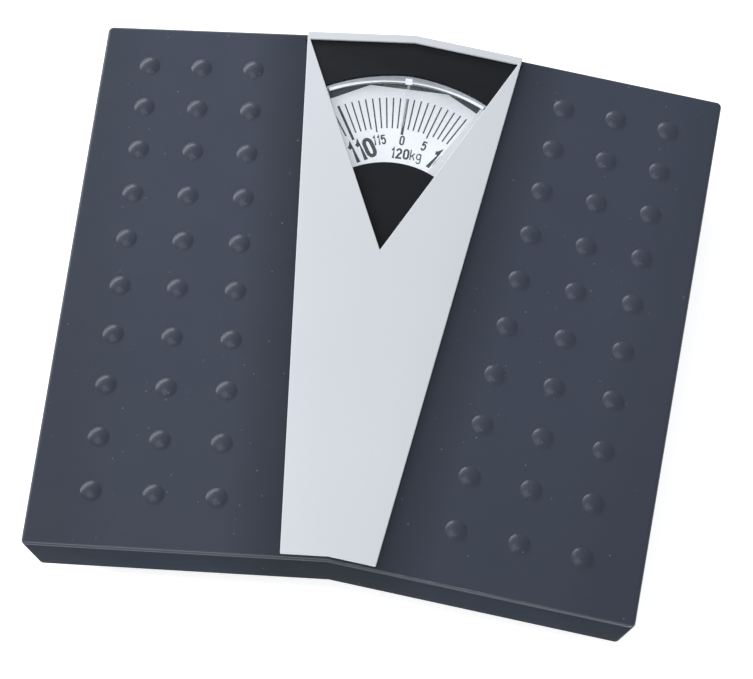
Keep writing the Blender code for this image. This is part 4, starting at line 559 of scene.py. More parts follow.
def platformSkin():
    bm, shapes = bmesh.new(), []
    for depth in (0.0, platform["sheet"]):
        rings = sheetRings(platform, 0.0, leans, platform["skirt"], depth, platform["corner"])
        shapes.append([[(x, y, -drop) for x, y in plan] for plan, drop in rings])
    outer = [ringOf(bm, ring) for ring in shapes[0]]
    joinRings(bm, outer)
    top = outer[0]
    front = next(index for index, vert in enumerate(top) if abs(vert.co.x) < 1e-7 and vert.co.y < 0)
    opening = ringOf(bm, [(x, y, 0) for x, y in windowCorners(window["sideCut"], window["backCut"])])
    back, left, apex, right = opening
    for outline in ([*top[: front + 1], apex, left, back], [top[0], back, right, apex, *top[front:]]):
        fillFlat(bm, edgesOf(bm, outline))
    inner = [place for ring in shapes[1] for place in ring]
    inner += [(vert.co.x, vert.co.y, -platform["sheet"]) for vert in opening]
    closeSheet(bm, sum(outer, []) + opening, inner)
    mesh = folded("platformSkin", meshFrom("platformFlat", bm), slate)
    paints = [slate, shadedSkirtSlate, highlightBendSlate]
    piece = newPiece("platform_skin", mesh, paints, "platform", "slate_paint", "platform_shell", sharp=40)
    # upright faces get the dull skirt copy (painted shade), front bend faces the glossy copy (painted
    # highlight)
    for face in mesh.polygons:
        rise = abs(face.normal.z)
        if rise < platform["skirtBelow"]:
            face.material_index = 1
        elif rise < platform["bendBelow"] and face.normal.y < platform["frontBelow"]:
            face.material_index = 2
    marks = mesh.attributes
    ridge = marks.get("sharp_edge") or marks.new("sharp_edge", "BOOLEAN", "EDGE")
    for edge in mesh.edges:  # the fold stays crisp on the skirts
        if all(abs(mesh.vertices[index].co.x) < 1e-6 for index in edge.vertices):
            ridge.data[edge.index].value = True


platformSkin()
print("platform skin folded")


# Dimples: one dome, repeated in rows and columns on both wings

dimples = {
    "rows": 10, "columns": 3, "radius": 0.0050, "rise": 0.0015, "sunk": 0.0006, "sides": 28, "rings": 6,
    "backMargin": 0.02155, "frontMargin": 0.0276, "bow": 0.0196,
    "outerBack": 0.02417, "outerFront": 0.02674, "innerBack": 0.0229, "innerFront": 0.0328,
}


def dimpleTree():
    sizes = ("Outer back", "Outer front", "Inner back", "Inner front", "Back", "Front", "Bow", "Chevron")
    kinds = {"Dome": "Object", "Rows": "Int", "Columns": "Int", **{label: "Float" for label in sizes}}
    maker = TreeMaker("dimpleField", {**kinds, "Paint": "Material"})
    given, maths, mix = maker.inputs, maker.maths, maker.mix
    perWing = maths("MULTIPLY", given["Rows"], given["Columns"])
    index = maker.add("GeometryNodeInputIndex").outputs[0]
    wing = maths("FLOOR", maths("DIVIDE", index, perWing))
    side = maths("MULTIPLY_ADD", wing, 2.0, -1.0)
    onWing = maths("MODULO", index, perWing)
    row = maths("FLOOR", maths("DIVIDE", maths("ADD", onWing, 0.5), given["Columns"]))
    column = maths("SUBTRACT", onWing, maths("MULTIPLY", row, given["Columns"]))
    along = maths("DIVIDE", row, maths("SUBTRACT", given["Rows"], 1.0))
    across = maths("DIVIDE", column, maths("SUBTRACT", given["Columns"], 1.0))
    outer = mix(given["Outer back"], given["Outer front"], along)
    x = mix(outer, mix(given["Inner back"], given["Inner front"], along), across)
    bowed = maths("MULTIPLY", maths("MULTIPLY", along, maths("SUBTRACT", 1.0, along)), given["Bow"])
    y = maths("ADD", mix(given["Back"], given["Front"], along), bowed)
    y = maths("SUBTRACT", y, maths("MULTIPLY", x, given["Chevron"]))
    points = maker.add("GeometryNodePoints", maths("MULTIPLY", perWing, 2.0))
    maker.feedNamed(points, Position=maker.vector(maths("MULTIPLY", x, side), y, 0.0))
    return maker.finish(maker.repeat(points.outputs[0], maker.shapeOf("Dome")))


def dimpleField():
    radius, rise, rings = dimples["radius"], dimples["rise"], dimples["rings"]
    ball = (radius * radius + rise * rise) / (2 * rise)
    limit = math.asin(radius / ball)
    profile = [(0, -dimples["sunk"]), (radius, -dimples["sunk"])]
    for step in range(rings):
        angle = limit * (1 - step / rings)
        profile.append((ball * math.sin(angle), ball * math.cos(angle) - ball + rise))
    bm = bmesh.new()
    addLathe(bm, profile + [(0, rise)], (0, 0, 0), dimples["sides"])
    dome = placeObject("dimpleDome", meshFrom("dimpleDome", bm))
    flat = grow("dimpleField", dimpleTree(), {
        "Dome": dome, "Rows": dimples["rows"], "Columns": dimples["columns"], "Bow": dimples["bow"],
        "Chevron": platform["chevron"],
        "Back": backY - dimples["backMargin"], "Front": frontY + dimples["frontMargin"],
        "Outer back": platform["backWidth"] / 2 - dimples["outerBack"],
        "Outer front": platform["frontWidth"] / 2 - dimples["outerFront"],
        "Inner back": strip["backWidth"] / 2 + dimples["innerBack"],
        "Inner front": strip["frontWidth"] / 2 + dimples["innerFront"],
        "Paint": slate,
    })
    bpy.data.objects.remove(dome)
    mesh = folded("dimpleFieldFolded", flat, slate)
    newPiece("platform_dimples", mesh, slate, "platform", "slate_paint", sharp=30)


dimpleField()
print("dimples pressed")


# Silver centre strip, two halves folded on the ridge

def centreStrip():
    back, front = backY + strip["overhang"], frontY + strip["frontMargin"]
    wide, narrow, opening = strip["backWidth"] / 2, strip["frontWidth"] / 2, windowCorners()
    half = [(0, back), edgePoint(-wide, back), edgePoint(-narrow, front), (0, front), *opening[2::-1]]
    bm, onRidge = bmesh.new(), {}
    for side in (1, -1):
        ring = []
        for x, y in half:
            if x or y not in onRidge:
                ring.append(bm.verts.new((side * x, y, gap)))
            else:
                ring.append(onRidge[y])
            if x == 0:
                onRidge[y] = ring[-1]
        bm.faces.new(ring)
    outline = list(bm.verts)
    closeSheet(bm, outline, [vert.co + Vector((0, 0, strip["sheet"])) for vert in outline])
    mesh = folded("centreStrip", meshFrom("stripFlat", bm), silver)
    newPiece("centre_strip_skin", mesh, silver, "platform", "silver_trim", "centre_strip",
             sharp=30, bevel=0.00035, bevelSteps=3)


centreStrip()
print("centre strip folded")


# Black mask and clear lens

lens = {
    "dialY": backY - 0.09217, "arcsForward": 0.0137, "outer": 0.0850, "sectorRadius": 0.0393, "arcSteps": 60,
    "wall": 0.0012, "ledge": 0.0004, "underside": 0.03874, "top": 0.04024, "maskTop": 0.04204,
    "rimWidth": 0.0009, "rimDrop": 0.0008, "footLine": 0.00034, "footGrowth": 1.6, "footHeight": 0.0429,
    "ribWidth": 0.0013, "ribReach": 0.0235, "ribRise": 0.0006,
    "blockWidth": 0.0032, "blockLength": 0.0014, "blockDrop": 0.0004,
    "sideRise": 0.0004, "leftWidths": (0.0008, 0.0008), "rightWidths": (0.0031, 0.0060),  # at rim and sector
}
floatUp = 0.00002  # keeps stacked faces of the clear pieces apart


def arcMeetsSide(radius, centreY, start, end):
    origin = Vector(start) - Vector((0, centreY))
    along = (Vector(end) - Vector(start)).normalized()
    half = origin.dot(along)
    return origin + along * (-half + math.sqrt(half * half - origin.length_squared + radius * radius))


def arcPoints(radius, centreY, apex, first, last):
    start, end = arcMeetsSide(radius, centreY, apex, first), arcMeetsSide(radius, centreY, apex, last)
    fromAngle, toAngle = math.atan2(start.y, start.x), math.atan2(end.y, end.x)
    steps = lens["arcSteps"]
    turns = [fromAngle + (toAngle - fromAngle) * step / steps for step in range(steps + 1)]
    return [(radius * math.cos(turn), centreY + radius * math.sin(turn)) for turn in turns]


def openingArcs(widen):
    # both arcs have one centre, in front of the dial's axis
    centreY = lens["dialY"] - lens["arcsForward"]
    return (lens["outer"] + widen, centreY), (lens["sectorRadius"] - widen, centreY)


def lensCorners(clearance, inwards=0.0):
    whole = windowCorners(window["sideCut"], window["backCut"])
    return insetCorners(whole, (gap + lens["wall"] + lens["ledge"] + clearance * gap + inwards,) * 4)


def addBead(bm, path, radii, steps=10):
    turns, rows = [2 * math.pi * step / steps for step in range(steps)], []
    for index, (point, radius) in enumerate(zip(path, radii)):
        before, after = Vector(path[max(index - 1, 0)]), Vector(path[min(index + 1, len(path) - 1)])
        across, up = (after - before).cross(Vector((0, 0, 1))).normalized(), Vector((0, 0, 1))
        rows.append([Vector(point) + (across * math.cos(t) + up * math.sin(t)) * radius for t in turns])
    addAlong(bm, rows)


def addBar(bm, width, start, length, low, high):
    half = width / 2
    addPrism(bm, [(-half, start - length), (half, start - length), (half, start), (-half, start)], low, high)


def lensPiece(name, bm, material, *nodes, **finish):
    newPiece(name, bm, material, "platform", "clear_plastic", *nodes, **finish)


def dialLens():
    foot = lens["top"] + floatUp
    outer, arcsY = openingArcs(-2 * gap)[0]
    rim = outer - lens["rimWidth"]
    left, apex, right = lensCorners(2)[1:]
    outerArc, innerArc = (arcPoints(radius, arcsY, apex, right, left) for radius in (outer, rim))

    plate, (arch, sector), near = bmesh.new(), openingArcs(-gap), lensCorners(1)
    outline = arcPoints(*arch, near[2], near[3], near[1]) + arcPoints(*sector, near[2], near[1], near[3])
    addPrism(plate, outline, lens["underside"], lens["top"])
    lensPiece("dial_lens_clear", plate, clear, "dial_lens", sharp=30, bevel=0.00015)

    wall, rows = bmesh.new(), []  # it stands up to the folded panel, so it is tallest on the ridge
    for far, close in zip(outerArc, innerArc):
        farTop, closeTop = (foldHeight(spot[0]) - lens["rimDrop"] for spot in (far, close))
        rows.append([(*far, foot), (*close, foot), (*close, closeTop), (*far, farTop)])
    addAlong(wall, rows)
    ribTop = lens["maskTop"] + lens["ribRise"]
    addBar(wall, lens["ribWidth"], arcsY + rim - floatUp, lens["ribReach"], foot, ribTop)
    lensPiece("dial_lens_wall", wall, wallClear, sharp=40)

    lines, end = bmesh.new(), outerArc[0][0]  # the bead grows thicker to its ends
    radii = [lens["footLine"] * (1 + lens["footGrowth"] * (x / end) ** 2) for x, _ in innerArc]
    bead = [(x, y - radius / 2, lens["footHeight"]) for (x, y), radius in zip(innerArc, radii)]
    addBead(lines, bead[1:-1], radii[1:-1])
    blockTop = foldHeight(0) - lens["rimDrop"] - lens["blockDrop"]
    addBar(lines, lens["blockWidth"], arcsY + rim, lens["blockLength"], lens["footHeight"], blockTop)
    lensPiece("dial_lens_edges", lines, edgeLight, sharp=60)

    flanks, rimArc = bmesh.new(), (rim, arcsY)  # the sides, where the clear piece bends what lies under it
    for corner, (atRim, atSector) in ((1, lens["leftWidths"]), (3, lens["rightWidths"])):
        quad, widths = [], (0.0, 0.0, atRim, atSector)
        for width, (radius, centreY) in zip(widths, (sector, rimArc, rimArc, sector)):
            corners = lensCorners(1, width)
            spot = arcMeetsSide(radius, centreY, corners[2], corners[corner])
            quad.append((spot.x, spot.y + centreY))
        addPrism(flanks, quad, foot, foot + lens["sideRise"])
    lensPiece("dial_lens_sides", flanks, sideClear, sharp=60)


copyOfNode("dial_mask", black, "black_plastic", bevel=0.00015)
dialLens()
print("mask and lens ready")


# Turning dial with its print

dial = {
    "centreY": lens["dialY"], "top": 0.035, "print": 0.00008, "labelLift": 0.00001,
    "sides": 12, "corner": 0.0730, "bore": 0.003, "sheet": 0.0008,
    "outer": 0.06513, "unitInner": 0.0483, "fiveInner": 0.0463, "tenInner": 0.0450,
    "unitWidth": 0.00065, "tenWidth": 0.0012, "zeroWidth": 0.0013, "kilos": 120,
}


def tickTree():
    # one thin bar a kilogram; every fifth reaches further in, every tenth is also wide
    sizes = ("Unit inner", "Five inner", "Ten inner", "Outer",
             "Unit width", "Ten width", "Zero width", "Thickness")
    kinds = {"Count": "Int", **{label: "Float" for label in sizes}, "Centre": "Vector", "Paint": "Material"}
    maker = TreeMaker("dialTicks", kinds)
    given, maths, mix = maker.inputs, maker.maths, maker.mix
    index = maker.add("GeometryNodeInputIndex").outputs[0]

    def every(count):
        return maths("COMPARE", maths("MODULO", index, count), 0.0, 0.25)

    five, ten, zero = every(5.0), every(10.0), maths("COMPARE", index, 0.0, 0.25)
    inner = mix(mix(given["Unit inner"], given["Five inner"], five), given["Ten inner"], ten)
    width = mix(mix(given["Unit width"], given["Ten width"], ten), given["Zero width"], zero)
    turn = maths("DIVIDE", maths("MULTIPLY", index, -2 * math.pi), given["Count"])
    angle = maths("ADD", turn, math.pi / 2)
    middle = maths("MULTIPLY", maths("ADD", inner, given["Outer"]), 0.5)
    x, y = (maths("MULTIPLY", middle, maths(wave, angle)) for wave in ("COSINE", "SINE"))
    spot = maker.add("ShaderNodeVectorMath", maker.vector(x, y, 0.0), given["Centre"], operation="ADD")
    points = maker.feedNamed(maker.add("GeometryNodePoints", given["Count"]), Position=spot.outputs[0])
    bar = maker.add("GeometryNodeMeshCube", (1.0, 1.0, 1.0)).outputs[0]
    size = maker.vector(width, maths("SUBTRACT", given["Outer"], inner), given["Thickness"])
    turned = maker.vector(0.0, 0.0, turn)
    return maker.finish(maker.repeat(points.outputs[0], bar, Rotation=turned, Scale=size))


def dialTicks():
    values = {
        "Count": dial["kilos"], "Outer": dial["outer"],
        "Unit inner": dial["unitInner"], "Five inner": dial["fiveInner"], "Ten inner": dial["tenInner"],
        "Unit width": dial["unitWidth"], "Ten width": dial["tenWidth"], "Zero width": dial["zeroWidth"],
        "Centre": (0.0, dial["centreY"], dial["top"] + dial["print"] / 2 + dial["labelLift"]),
        "Thickness": dial["print"], "Paint": ink,
    }
    newPiece("dial_ticks", grow("dialTicks", tickTree(), values), ink, "dial", "dial_white")


lettering = {
    "oneWidth": 0.66, "threeFigures": 0.0018,
    "small": {"height": 0.0053, "width": 0.46, "pen": 0.145, "space": 0.085, "top": 0.0446, "shift": 0.0006},
    "large": {"height": 0.0112, "width": 0.47, "pen": 0.165, "space": 0.03, "top": 0.0438, "shift": 0.0},
    "total": {"height": 0.0058, "width": 0.52, "pen": 0.165, "space": 0.09, "top": 0.0376, "shift": 0.0006},
    "unit": {"height": 0.0056, "width": 0.44, "pen": 0.095, "space": 0.09, "top": 0.0376, "shift": 0.0037},
}


def arcOf(x, y, reachX, reachY, fromDegrees, toDegrees, steps=12):
    share = (toDegrees - fromDegrees) / steps
    turns = [math.radians(fromDegrees + share * step) for step in range(steps + 1)]
    return [(x + reachX * math.cos(turn), y + reachY * math.sin(turn)) for turn in turns]


def figureStrokes(wide, thick):
    # pen strokes of plain narrow figures, one unit high; closed loops are marked True
    left, right, low, high = thick / 2, wide - thick / 2, thick / 2, 1 - thick / 2
    middle, reach = wide / 2, (wide - thick) / 2
    end, upper, bowl = 0.24, 0.235, 0.30
    lower = (high - low) / 2 - upper
    zero = arcOf(middle, high - end, reach, end, 0, 180) + arcOf(middle, low + end, reach, end, 180, 360)
    flag = [(right - reach, 0.775), (right - reach * 0.55, 0.80), (right - reach * 0.2, 0.87)]
    six = [(arcOf(middle, low + bowl, reach, bowl, 0, 345, 23), True),
           (arcOf(middle, high - end, reach, end, 25, 180) + [(left, low + bowl)], False)]
    return {
        "0": [(zero, True)],
        "1": [(flag + [(right, 1.0), (right, 0)], False)],
        "2": [(arcOf(middle, high - end, reach, end, 170, -20) + [(middle, 0.40), (left + 0.03, low)], False),
              ([(left - thick / 2, low), (wide, low)], False)],
        "3": [(arcOf(middle, high - upper, reach * 0.95, upper, 160, -90), False),
              (arcOf(middle, low + lower, reach, lower, 90, -160), False)],
        "4": [([(wide * 0.74, 0), (wide * 0.74, 1)], False), ([(wide * 0.70, high), (left, 0.29)], False),
              ([(0, 0.27), (wide, 0.27)], False)],
        "5": [([(right, high), (left + 0.02, high), (left, 0.50)], False),
              (arcOf(middle, low + bowl, reach, bowl, 150, -155), False)],
        "6": six,
        "7": [([(0, high), (wide, high)], False), ([(right, high), (middle, 0.50), (wide * 0.34, 0)], False)],
        "8": [(arcOf(middle, high - upper, reach * 0.92, upper, 0, 345, 23), True),
              (arcOf(middle, low + lower, reach, lower, 0, 345, 23), True)],
        "9": [([(wide - x, 1 - y) for x, y in points], closed) for points, closed in six],
        "k": [([(left, 0), (left, 1)], False), ([(left, 0.26), (right, 0.66)], False),
              ([(middle, 0.44), (right, 0)], False)],
        "g": [(arcOf(middle, 0.38, reach, 0.27, 0, 345, 23), True),
              ([(right, 0.66)] + arcOf(middle, -0.06, reach, 0.20, 0, -160), False)],
    }


def addStroke(bm, points, closed, thick, place):
    # a flat ribbon of this thickness along the pen's path
    rows = []
    for index, point in enumerate(points):
        before = points[index - 1] if closed or index else point
        after = points[(index + 1) % len(points)] if closed or index < len(points) - 1 else point
        back, ahead = Vector(point) - Vector(before), Vector(after) - Vector(point)
        along = (back.normalized() + ahead.normalized()).normalized()
        straight = ahead.normalized() if ahead.length else back.normalized()
        across = Vector((-along.y, along.x)) * (thick / 2 / max(along.dot(straight), 0.6))
        spots = (Vector(point) - across, Vector(point) + across)
        rows.append([place(x, y, rise) for (x, y), rise in zip((*spots, *spots[::-1]), (0, 0, 1, 1))])
    if closed:
        rings = [ringOf(bm, row) for row in rows]
        joinRings(bm, rings + rings[:1])
    else:
        addAlong(bm, rows)


def addWords(bm, words, style, angle, after=0.0):
    # words stand with their heads outwards, centred on this angle of the dial
    size, wide, thick = style["height"], style["width"], style["pen"]
    strokes = figureStrokes(wide, thick)
    widths = [wide * lettering["oneWidth"] if sign == "1" else wide for sign in words]
    total = sum(widths) + style["space"] * (len(words) - 1)
    outwards, up = Vector((math.cos(angle), math.sin(angle), 0)), Vector((0, 0, dial["print"]))
    across = Vector((outwards.y, -outwards.x, 0))
    middle = Vector((0, dial["centreY"], dial["top"] + dial["labelLift"]))
    start, shift = -total / 2, style["shift"] + after
    for sign, width in zip(words, widths):
        left = start - (wide - width)

        def place(x, y, rise):
            toSide, toRim = (left + x) * size + shift, style["top"] - (1 - y) * size
            return middle + across * toSide + outwards * toRim + up * rise

        for points, closed in strokes[sign]:
            addStroke(bm, points, closed, thick, place)
        start += width + style["space"]
    return total * size


def dialFigures():
    bm = bmesh.new()
    for kilo in range(0, dial["kilos"], 5):
        angle = math.pi / 2 - 2 * math.pi * kilo / dial["kilos"]
        large = kilo > 0 and kilo % 10 == 0
        after = lettering["threeFigures"] if large and kilo >= 100 else 0
        addWords(bm, str(kilo), lettering["large" if large else "small"], angle, after)
    width = addWords(bm, str(dial["kilos"]), lettering["total"], math.pi / 2)
    addWords(bm, "kg", lettering["unit"], math.pi / 2, after=width / 2)
    newPiece("dial_figures", bm, ink, "dial", "dial_white", sharp=30)


def dialDisc():
    # a twelve-sided plate; its flat edges show as dark wedges inside the round rim
    bm, count, low, high = bmesh.new(), dial["sides"], dial["top"] - dial["sheet"], dial["top"]
    rings = []
    for ring, z in (("corner", low), ("corner", high), ("bore", high), ("bore", low)):
        spots = circlePoints((0, dial["centreY"]), dial[ring], count, math.pi / count)
        rings.append(ringOf(bm, [(x, y, z) for x, y in spots]))
    joinRings(bm, rings + rings[:1])
    newPiece("dial_disc_plate", bm, white, "dial", "dial_white", "dial_disc", sharp=30, bevel=0.0002)


dialDisc()
dialTicks()
dialFigures()
for node in ("dial_hub", "dial_spindle"):
    copyOfNode(node, brass, "brass", bevel=0.00008)
print("dial printed")


# Base pan: a tray with a rim up inside the skirt, beads, rivets and feet

pan = {
    "inset": 0.012, "draft": 0.0012, "bend": 0.002, "sheet": 0.001, "underside": 0.006, "rimOverlap": 0.0035,
    "corner": 0.008, "cornerSteps": 6, "bendSteps": 5,
    "beads": ((0.098, -0.062, 0.062), (0.034, -0.1119496, -0.0220004)), "beadWidth": 0.012, "beadSteps": 12,
    "beadSection": ((-0.0004, 0.0), (0.0, 0.00008), (0.0004, 0.0003),  # inset and rise of each ring
                    (0.0012, 0.0013), (0.0016, 0.00152), (0.002, 0.0016)),
    "hole": 0.0024, "holeSides": 24, "holeSpan": (0.018, 0.009),  # for the screw, measured from the back edge
}
mechanismX, springHeight = -0.0044, 0.0237618


def beadRings(centreX, lowY, highY):
    steps, rings = pan["beadSteps"], []
    for inset, rise in pan["beadSection"]:
        radius, ring = pan["beadWidth"] / 2 - inset, []
        for endY, fromAngle in ((highY, 0), (lowY, math.pi)):
            for step in range(steps + 1):
                angle = fromAngle + math.pi * step / steps
                x, y = centreX + radius * math.cos(angle), endY + radius * math.sin(angle)
                ring.append((x, y, pan["underside"] + rise))
        rings.append(ring)
    return rings


def panPlaces(depth):
    places, wall, corner = [], pan["inset"] + pan["draft"], pan["corner"] - pan["draft"]
    rimBelow = platform["skirt"] - pan["rimOverlap"]
    for plan, drop in sheetRings(pan, wall, [pan["inset"]] * 6, None, depth, corner):
        if drop is None:  # the rim follows the platform's fold
            places.append([(x, y, foldHeight(x) - rimBelow) for x, y in plan])
        else:
            places.append([(x, y, pan["underside"] + drop) for x, y in plan])
    return places


def basePan():
    bm = bmesh.new()
    outer = [ringOf(bm, ring) for ring in panPlaces(0.0)]
    joinRings(bm, outer)
    edges = edgesOf(bm, outer[0])
    for side, _ in sides:
        for centreX, lowY, highY in pan["beads"]:
            rings = [ringOf(bm, ring) for ring in beadRings(side * centreX, lowY, highY)]
            joinRings(bm, rings)
            bm.faces.new(rings[-1])
            edges += edgesOf(bm, rings[0])
    fillFlat(bm, edges)
    wall = sum(outer, [])
    known = set(wall)
    floor = [vert for vert in bm.verts if vert not in known]
    inner = [place for ring in panPlaces(pan["sheet"]) for place in ring]
    inner += [vert.co + Vector((0, 0, pan["sheet"])) for vert in floor]
    closeSheet(bm, wall + floor, inner)
    tray = placeObject("trayWithoutHole", meshFrom("tray", bm))
    hole = bmesh.new()
    spots = circlePoints((mechanismX, springHeight), pan["hole"], pan["holeSides"])[::-1]
    addAlong(hole, [[(x, backY - inwards, z) for x, z in spots] for inwards in pan["holeSpan"]])
    cutter = placeObject("screwHole", meshFrom("screwHole", hole))
    cut = tray.modifiers.new("screwHole", "BOOLEAN")
    cut.operation, cut.object, cut.solver = "DIFFERENCE", cutter, "EXACT"
    mesh = plainMesh(tray)
    for spent in (tray, cutter):
        bpy.data.objects.remove(spent)
    newPiece("base_pan_tray", mesh, enamel, "base", "pan_enamel", "base_pan", sharp=40)


rivets = {
    "radius": 0.0016, "rise": 0.0008, "sunk": 0.0002, "sides": 14, "rings": 4,
    "places": ((0.0, 0.0175), (0.0, 0.0735), (mechanismX, 0.0952), (mechanismX, 0.1009),
               (mechanismX - 0.005, 0.1195), (mechanismX + 0.005, 0.1195), (-0.1185, 0.0), (0.1185, 0.0)),
}


def rivetTree():
    maker = TreeMaker("rivetHeads", {"Head": "Object", "Paint": "Material"})
    return maker.finish(maker.repeat(maker.inputs["Geometry"], maker.shapeOf("Head")))


def rivetHeads():
    radius, rise, sunk, count = rivets["radius"], rivets["rise"], rivets["sunk"], rivets["rings"]
    turns = [math.pi / 2 * step / count for step in range(count)]
    profile = [(0, sunk), (radius, sunk)] + [(radius * math.cos(t), -rise * math.sin(t)) for t in turns]
    bm = bmesh.new()
    addLathe(bm, profile + [(0, -rise)], (0, 0, 0), rivets["sides"])
    head = placeObject("rivetHead", meshFrom("rivetHead", bm))
    seeds = bpy.data.meshes.new("rivetPlaces")
    seeds.from_pydata([(x, y, pan["underside"]) for x, y in rivets["places"]], [], [])
    mesh = grow("rivetHeads", rivetTree(), {"Head": head, "Paint": zinc}, seeds)
    bpy.data.objects.remove(head)
    newPiece("pan_rivets", mesh, zinc, "base", "zinc_steel", sharp=30)


feet = {
    "x": 0.112, "y": 0.105, "radius": 0.0125, "round": 0.0012, "roundSteps": 4, "sides": 48,
    "dish": 0.0055, "dishDepth": 0.0008, "dishBevel": 0.0003,
    "grooves": (0.0074, 0.0094), "grooveHalf": 0.0004, "grooveDepth": 0.0005,  # shallow tread
}


def foot(name, x, y):
    top, curve, flat = pan["underside"] - gap, feet["round"], feet["radius"] - feet["round"]
    dish, depth, bevel = feet["dish"], feet["dishDepth"], feet["dishBevel"]
    half, groove = feet["grooveHalf"], feet["grooveDepth"]
    profile = [(0, depth), (dish - bevel, depth), (dish, depth - bevel), (dish, 0.0)]
    for radius in feet["grooves"]:
        steps = ((-half, 0.0), (-half / 2, groove), (half / 2, groove), (half, 0.0))
        profile += [(radius + across, height) for across, height in steps]
    turns = [math.pi / 2 * step / feet["roundSteps"] for step in range(feet["roundSteps"] + 1)]
    profile += [(flat + curve * math.sin(t), curve - curve * math.cos(t)) for t in turns]
    profile += [(flat + curve * math.cos(t), top - curve + curve * math.sin(t)) for t in turns]
    bm = bmesh.new()
    addLathe(bm, profile + [(0, top)], (x, y, 0), feet["sides"])
    newPiece(name + "_pad", bm, rubber, "base", "foot_rubber", name, sharp=40)


basePan()
rivetHeads()
for side, sideName in sides:
    for end, endName in ((-1, "front"), (1, "back")):
        foot(f"foot_{endName}_{sideName}", side * feet["x"], end * feet["y"])
print("pan, rivets and feet ready")


# Springs: wire along a path of its own

springs = {
    "turnPoints": 28,
    "main": {"wire": 0.0008, "wireSides": 10, "coil": 0.0042, "pitch": 0.00215, "turns": 5, "bend": 0.0006,
             "hookY": 0.1021517, "startY": 0.1078017, "eyeY": 0.1212, "reach": 0.0034, "crankSheet": 0.0015},
    "hold": {"wire": 0.00045, "wireSides": 8, "coil": 0.003, "pitch": 0.00155, "turns": 8, "bend": 0.0005,
             "x": 0.121975, "low": 0.0116, "plate": 0.0012, "plateDrop": 0.0065, "holeRise": 0.0022},
}


def wireTree():
    maker = TreeMaker("wireAlongPath", {"Radius": "Float", "Sides": "Int", "Paint": "Material"})
    ring = maker.add("GeometryNodeCurvePrimitiveCircle", maker.inputs["Sides"])
    maker.feedNamed(ring, Radius=maker.inputs["Radius"])
    tube = maker.add("GeometryNodeCurveToMesh", maker.inputs["Geometry"], ring.outputs[0])
    return maker.finish(maker.feedNamed(tube, Fill_Caps=True).outputs[0])


wireSweep = wireTree()


def smoothed(points, radius, steps=4):
    # rounds the bends of a path so the wire has no sharp corner
    result = [Vector(points[0])]
    for before, here, after in zip(points, points[1:], points[2:]):
        here = Vector(here)
        back, ahead = Vector(before) - here, Vector(after) - here
        reach = min(radius, back.length * 0.45, ahead.length * 0.45)
        start, end = here + back.normalized() * reach, here + ahead.normalized() * reach
        for step in range(steps + 1):
            t = step / steps
            result.append(start * (1 - t) ** 2 + here * (2 * t * (1 - t)) + end * t * t)
    return result + [Vector(points[-1])]


def turnsOf(size, start):
    # two distances across the coil, and one along it, for every point of the turns
    count, points = springs["turnPoints"], []
    for index in range(1, size["turns"] * count + 1):
        angle, along = 2 * math.pi * index / count, start + size["pitch"] * index / count
        points.append((size["coil"] * math.cos(angle), size["coil"] * math.sin(angle), along))
    return points


def springPiece(name, points, size, body):
    curve = bpy.data.curves.new(name + "Path", "CURVE")
    curve.dimensions = "3D"
    spline = curve.splines.new("POLY")
    spline.points.add(len(points) - 1)
    for target, point in zip(spline.points, points):
        target.co = (*point, 1)
    values = {"Radius": size["wire"], "Sides": size["wireSides"], "Paint": wire}
    bm = bmesh.new()
    bm.from_mesh(grow(name + "Path", wireSweep, values, curve))
    return newPiece(name + "_wire", bm, wire, body, "spring_steel", name, sharp=50)


def mainSpring():
    size = springs["main"]
    thick, radius, startY, hookY, eyeY = (size[key] for key in ("wire", "coil", "startY", "hookY", "eyeY"))
    side = mechanismX + size["crankSheet"] / 2 + gap + thick + gap
    far, endY = mechanismX - size["reach"], startY + size["pitch"] * size["turns"]
    coil = [(mechanismX + across, y, springHeight + up) for across, up, y in turnsOf(size, startY)]
    leads = (
        [(far, hookY), (side - thick / 2, hookY), (side + thick, hookY + thick),
         (side + thick, startY - 3 * thick), (mechanismX + radius, startY - thick)],
        [(mechanismX + radius, endY + thick / 2), (side + thick, eyeY - thick),
         (side - thick / 2, eyeY), (far, eyeY)],
    )
    leadIn, leadOut = (smoothed([(x, y, springHeight) for x, y in lead], size["bend"]) for lead in leads)
    piece = springPiece("main_spring", leadIn + coil + leadOut, size, None)
    # its back eye moves with the adjusting screw, its front hook stays by the crank
    back = size["eyeY"] - 1.5 * thick
    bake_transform(piece, "base", bodyOf["adjusting_screw"],
             start=(mechanismX, size["startY"], springHeight), end=(mechanismX, back, springHeight))


def holdDownSpring(name, side):
    size = springs["hold"]
    thick, radius, low = size["wire"], size["coil"], size["low"]
    x = side * size["x"]
    high = foldHeight(size["x"]) - platform["sheet"] - gap - size["plateDrop"] + size["holeRise"]
    length = size["pitch"] * size["turns"]
    start = (low + high - length) / 2
    coil = [(x + across, y, z) for across, y, z in turnsOf(size, start)]
    out = size["plate"] / 2 + gap + 2 * thick

    def lead(end, inwards, coilEnd):
        # from the hook through its plate to the turns
        steps = ((-2 * out, end), (out - thick, end), (out, end + inwards * thick),
                 (out, coilEnd - inwards * 3 * thick), (radius, coilEnd - inwards * thick))
        return smoothed([(x + across, 0, z) for across, z in steps], size["bend"])

    path = lead(low, 1, start) + coil + lead(high, -1, start + length)[::-1]
    piece = springPiece(name, path, size, bodyOf[name])
    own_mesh(piece)


mainSpring()
for side, sideName in sides:
    holdDownSpring(f"hold_down_spring_{sideName}", side)
print("springs wound")


# The rest of the mechanism

for node in frame["nodes"]:
    if not frame["nodes"][node].hide_render:
        material, slot = (knob, "black_plastic") if node == "zero_wheel" else (zinc, "zinc_steel")
        copyOfNode(node, material, slot, bevel=0.0001 if "knife" in node else 0.00018)
print("mechanism finished")


# Stage: pale floor, soft boxes, bright room

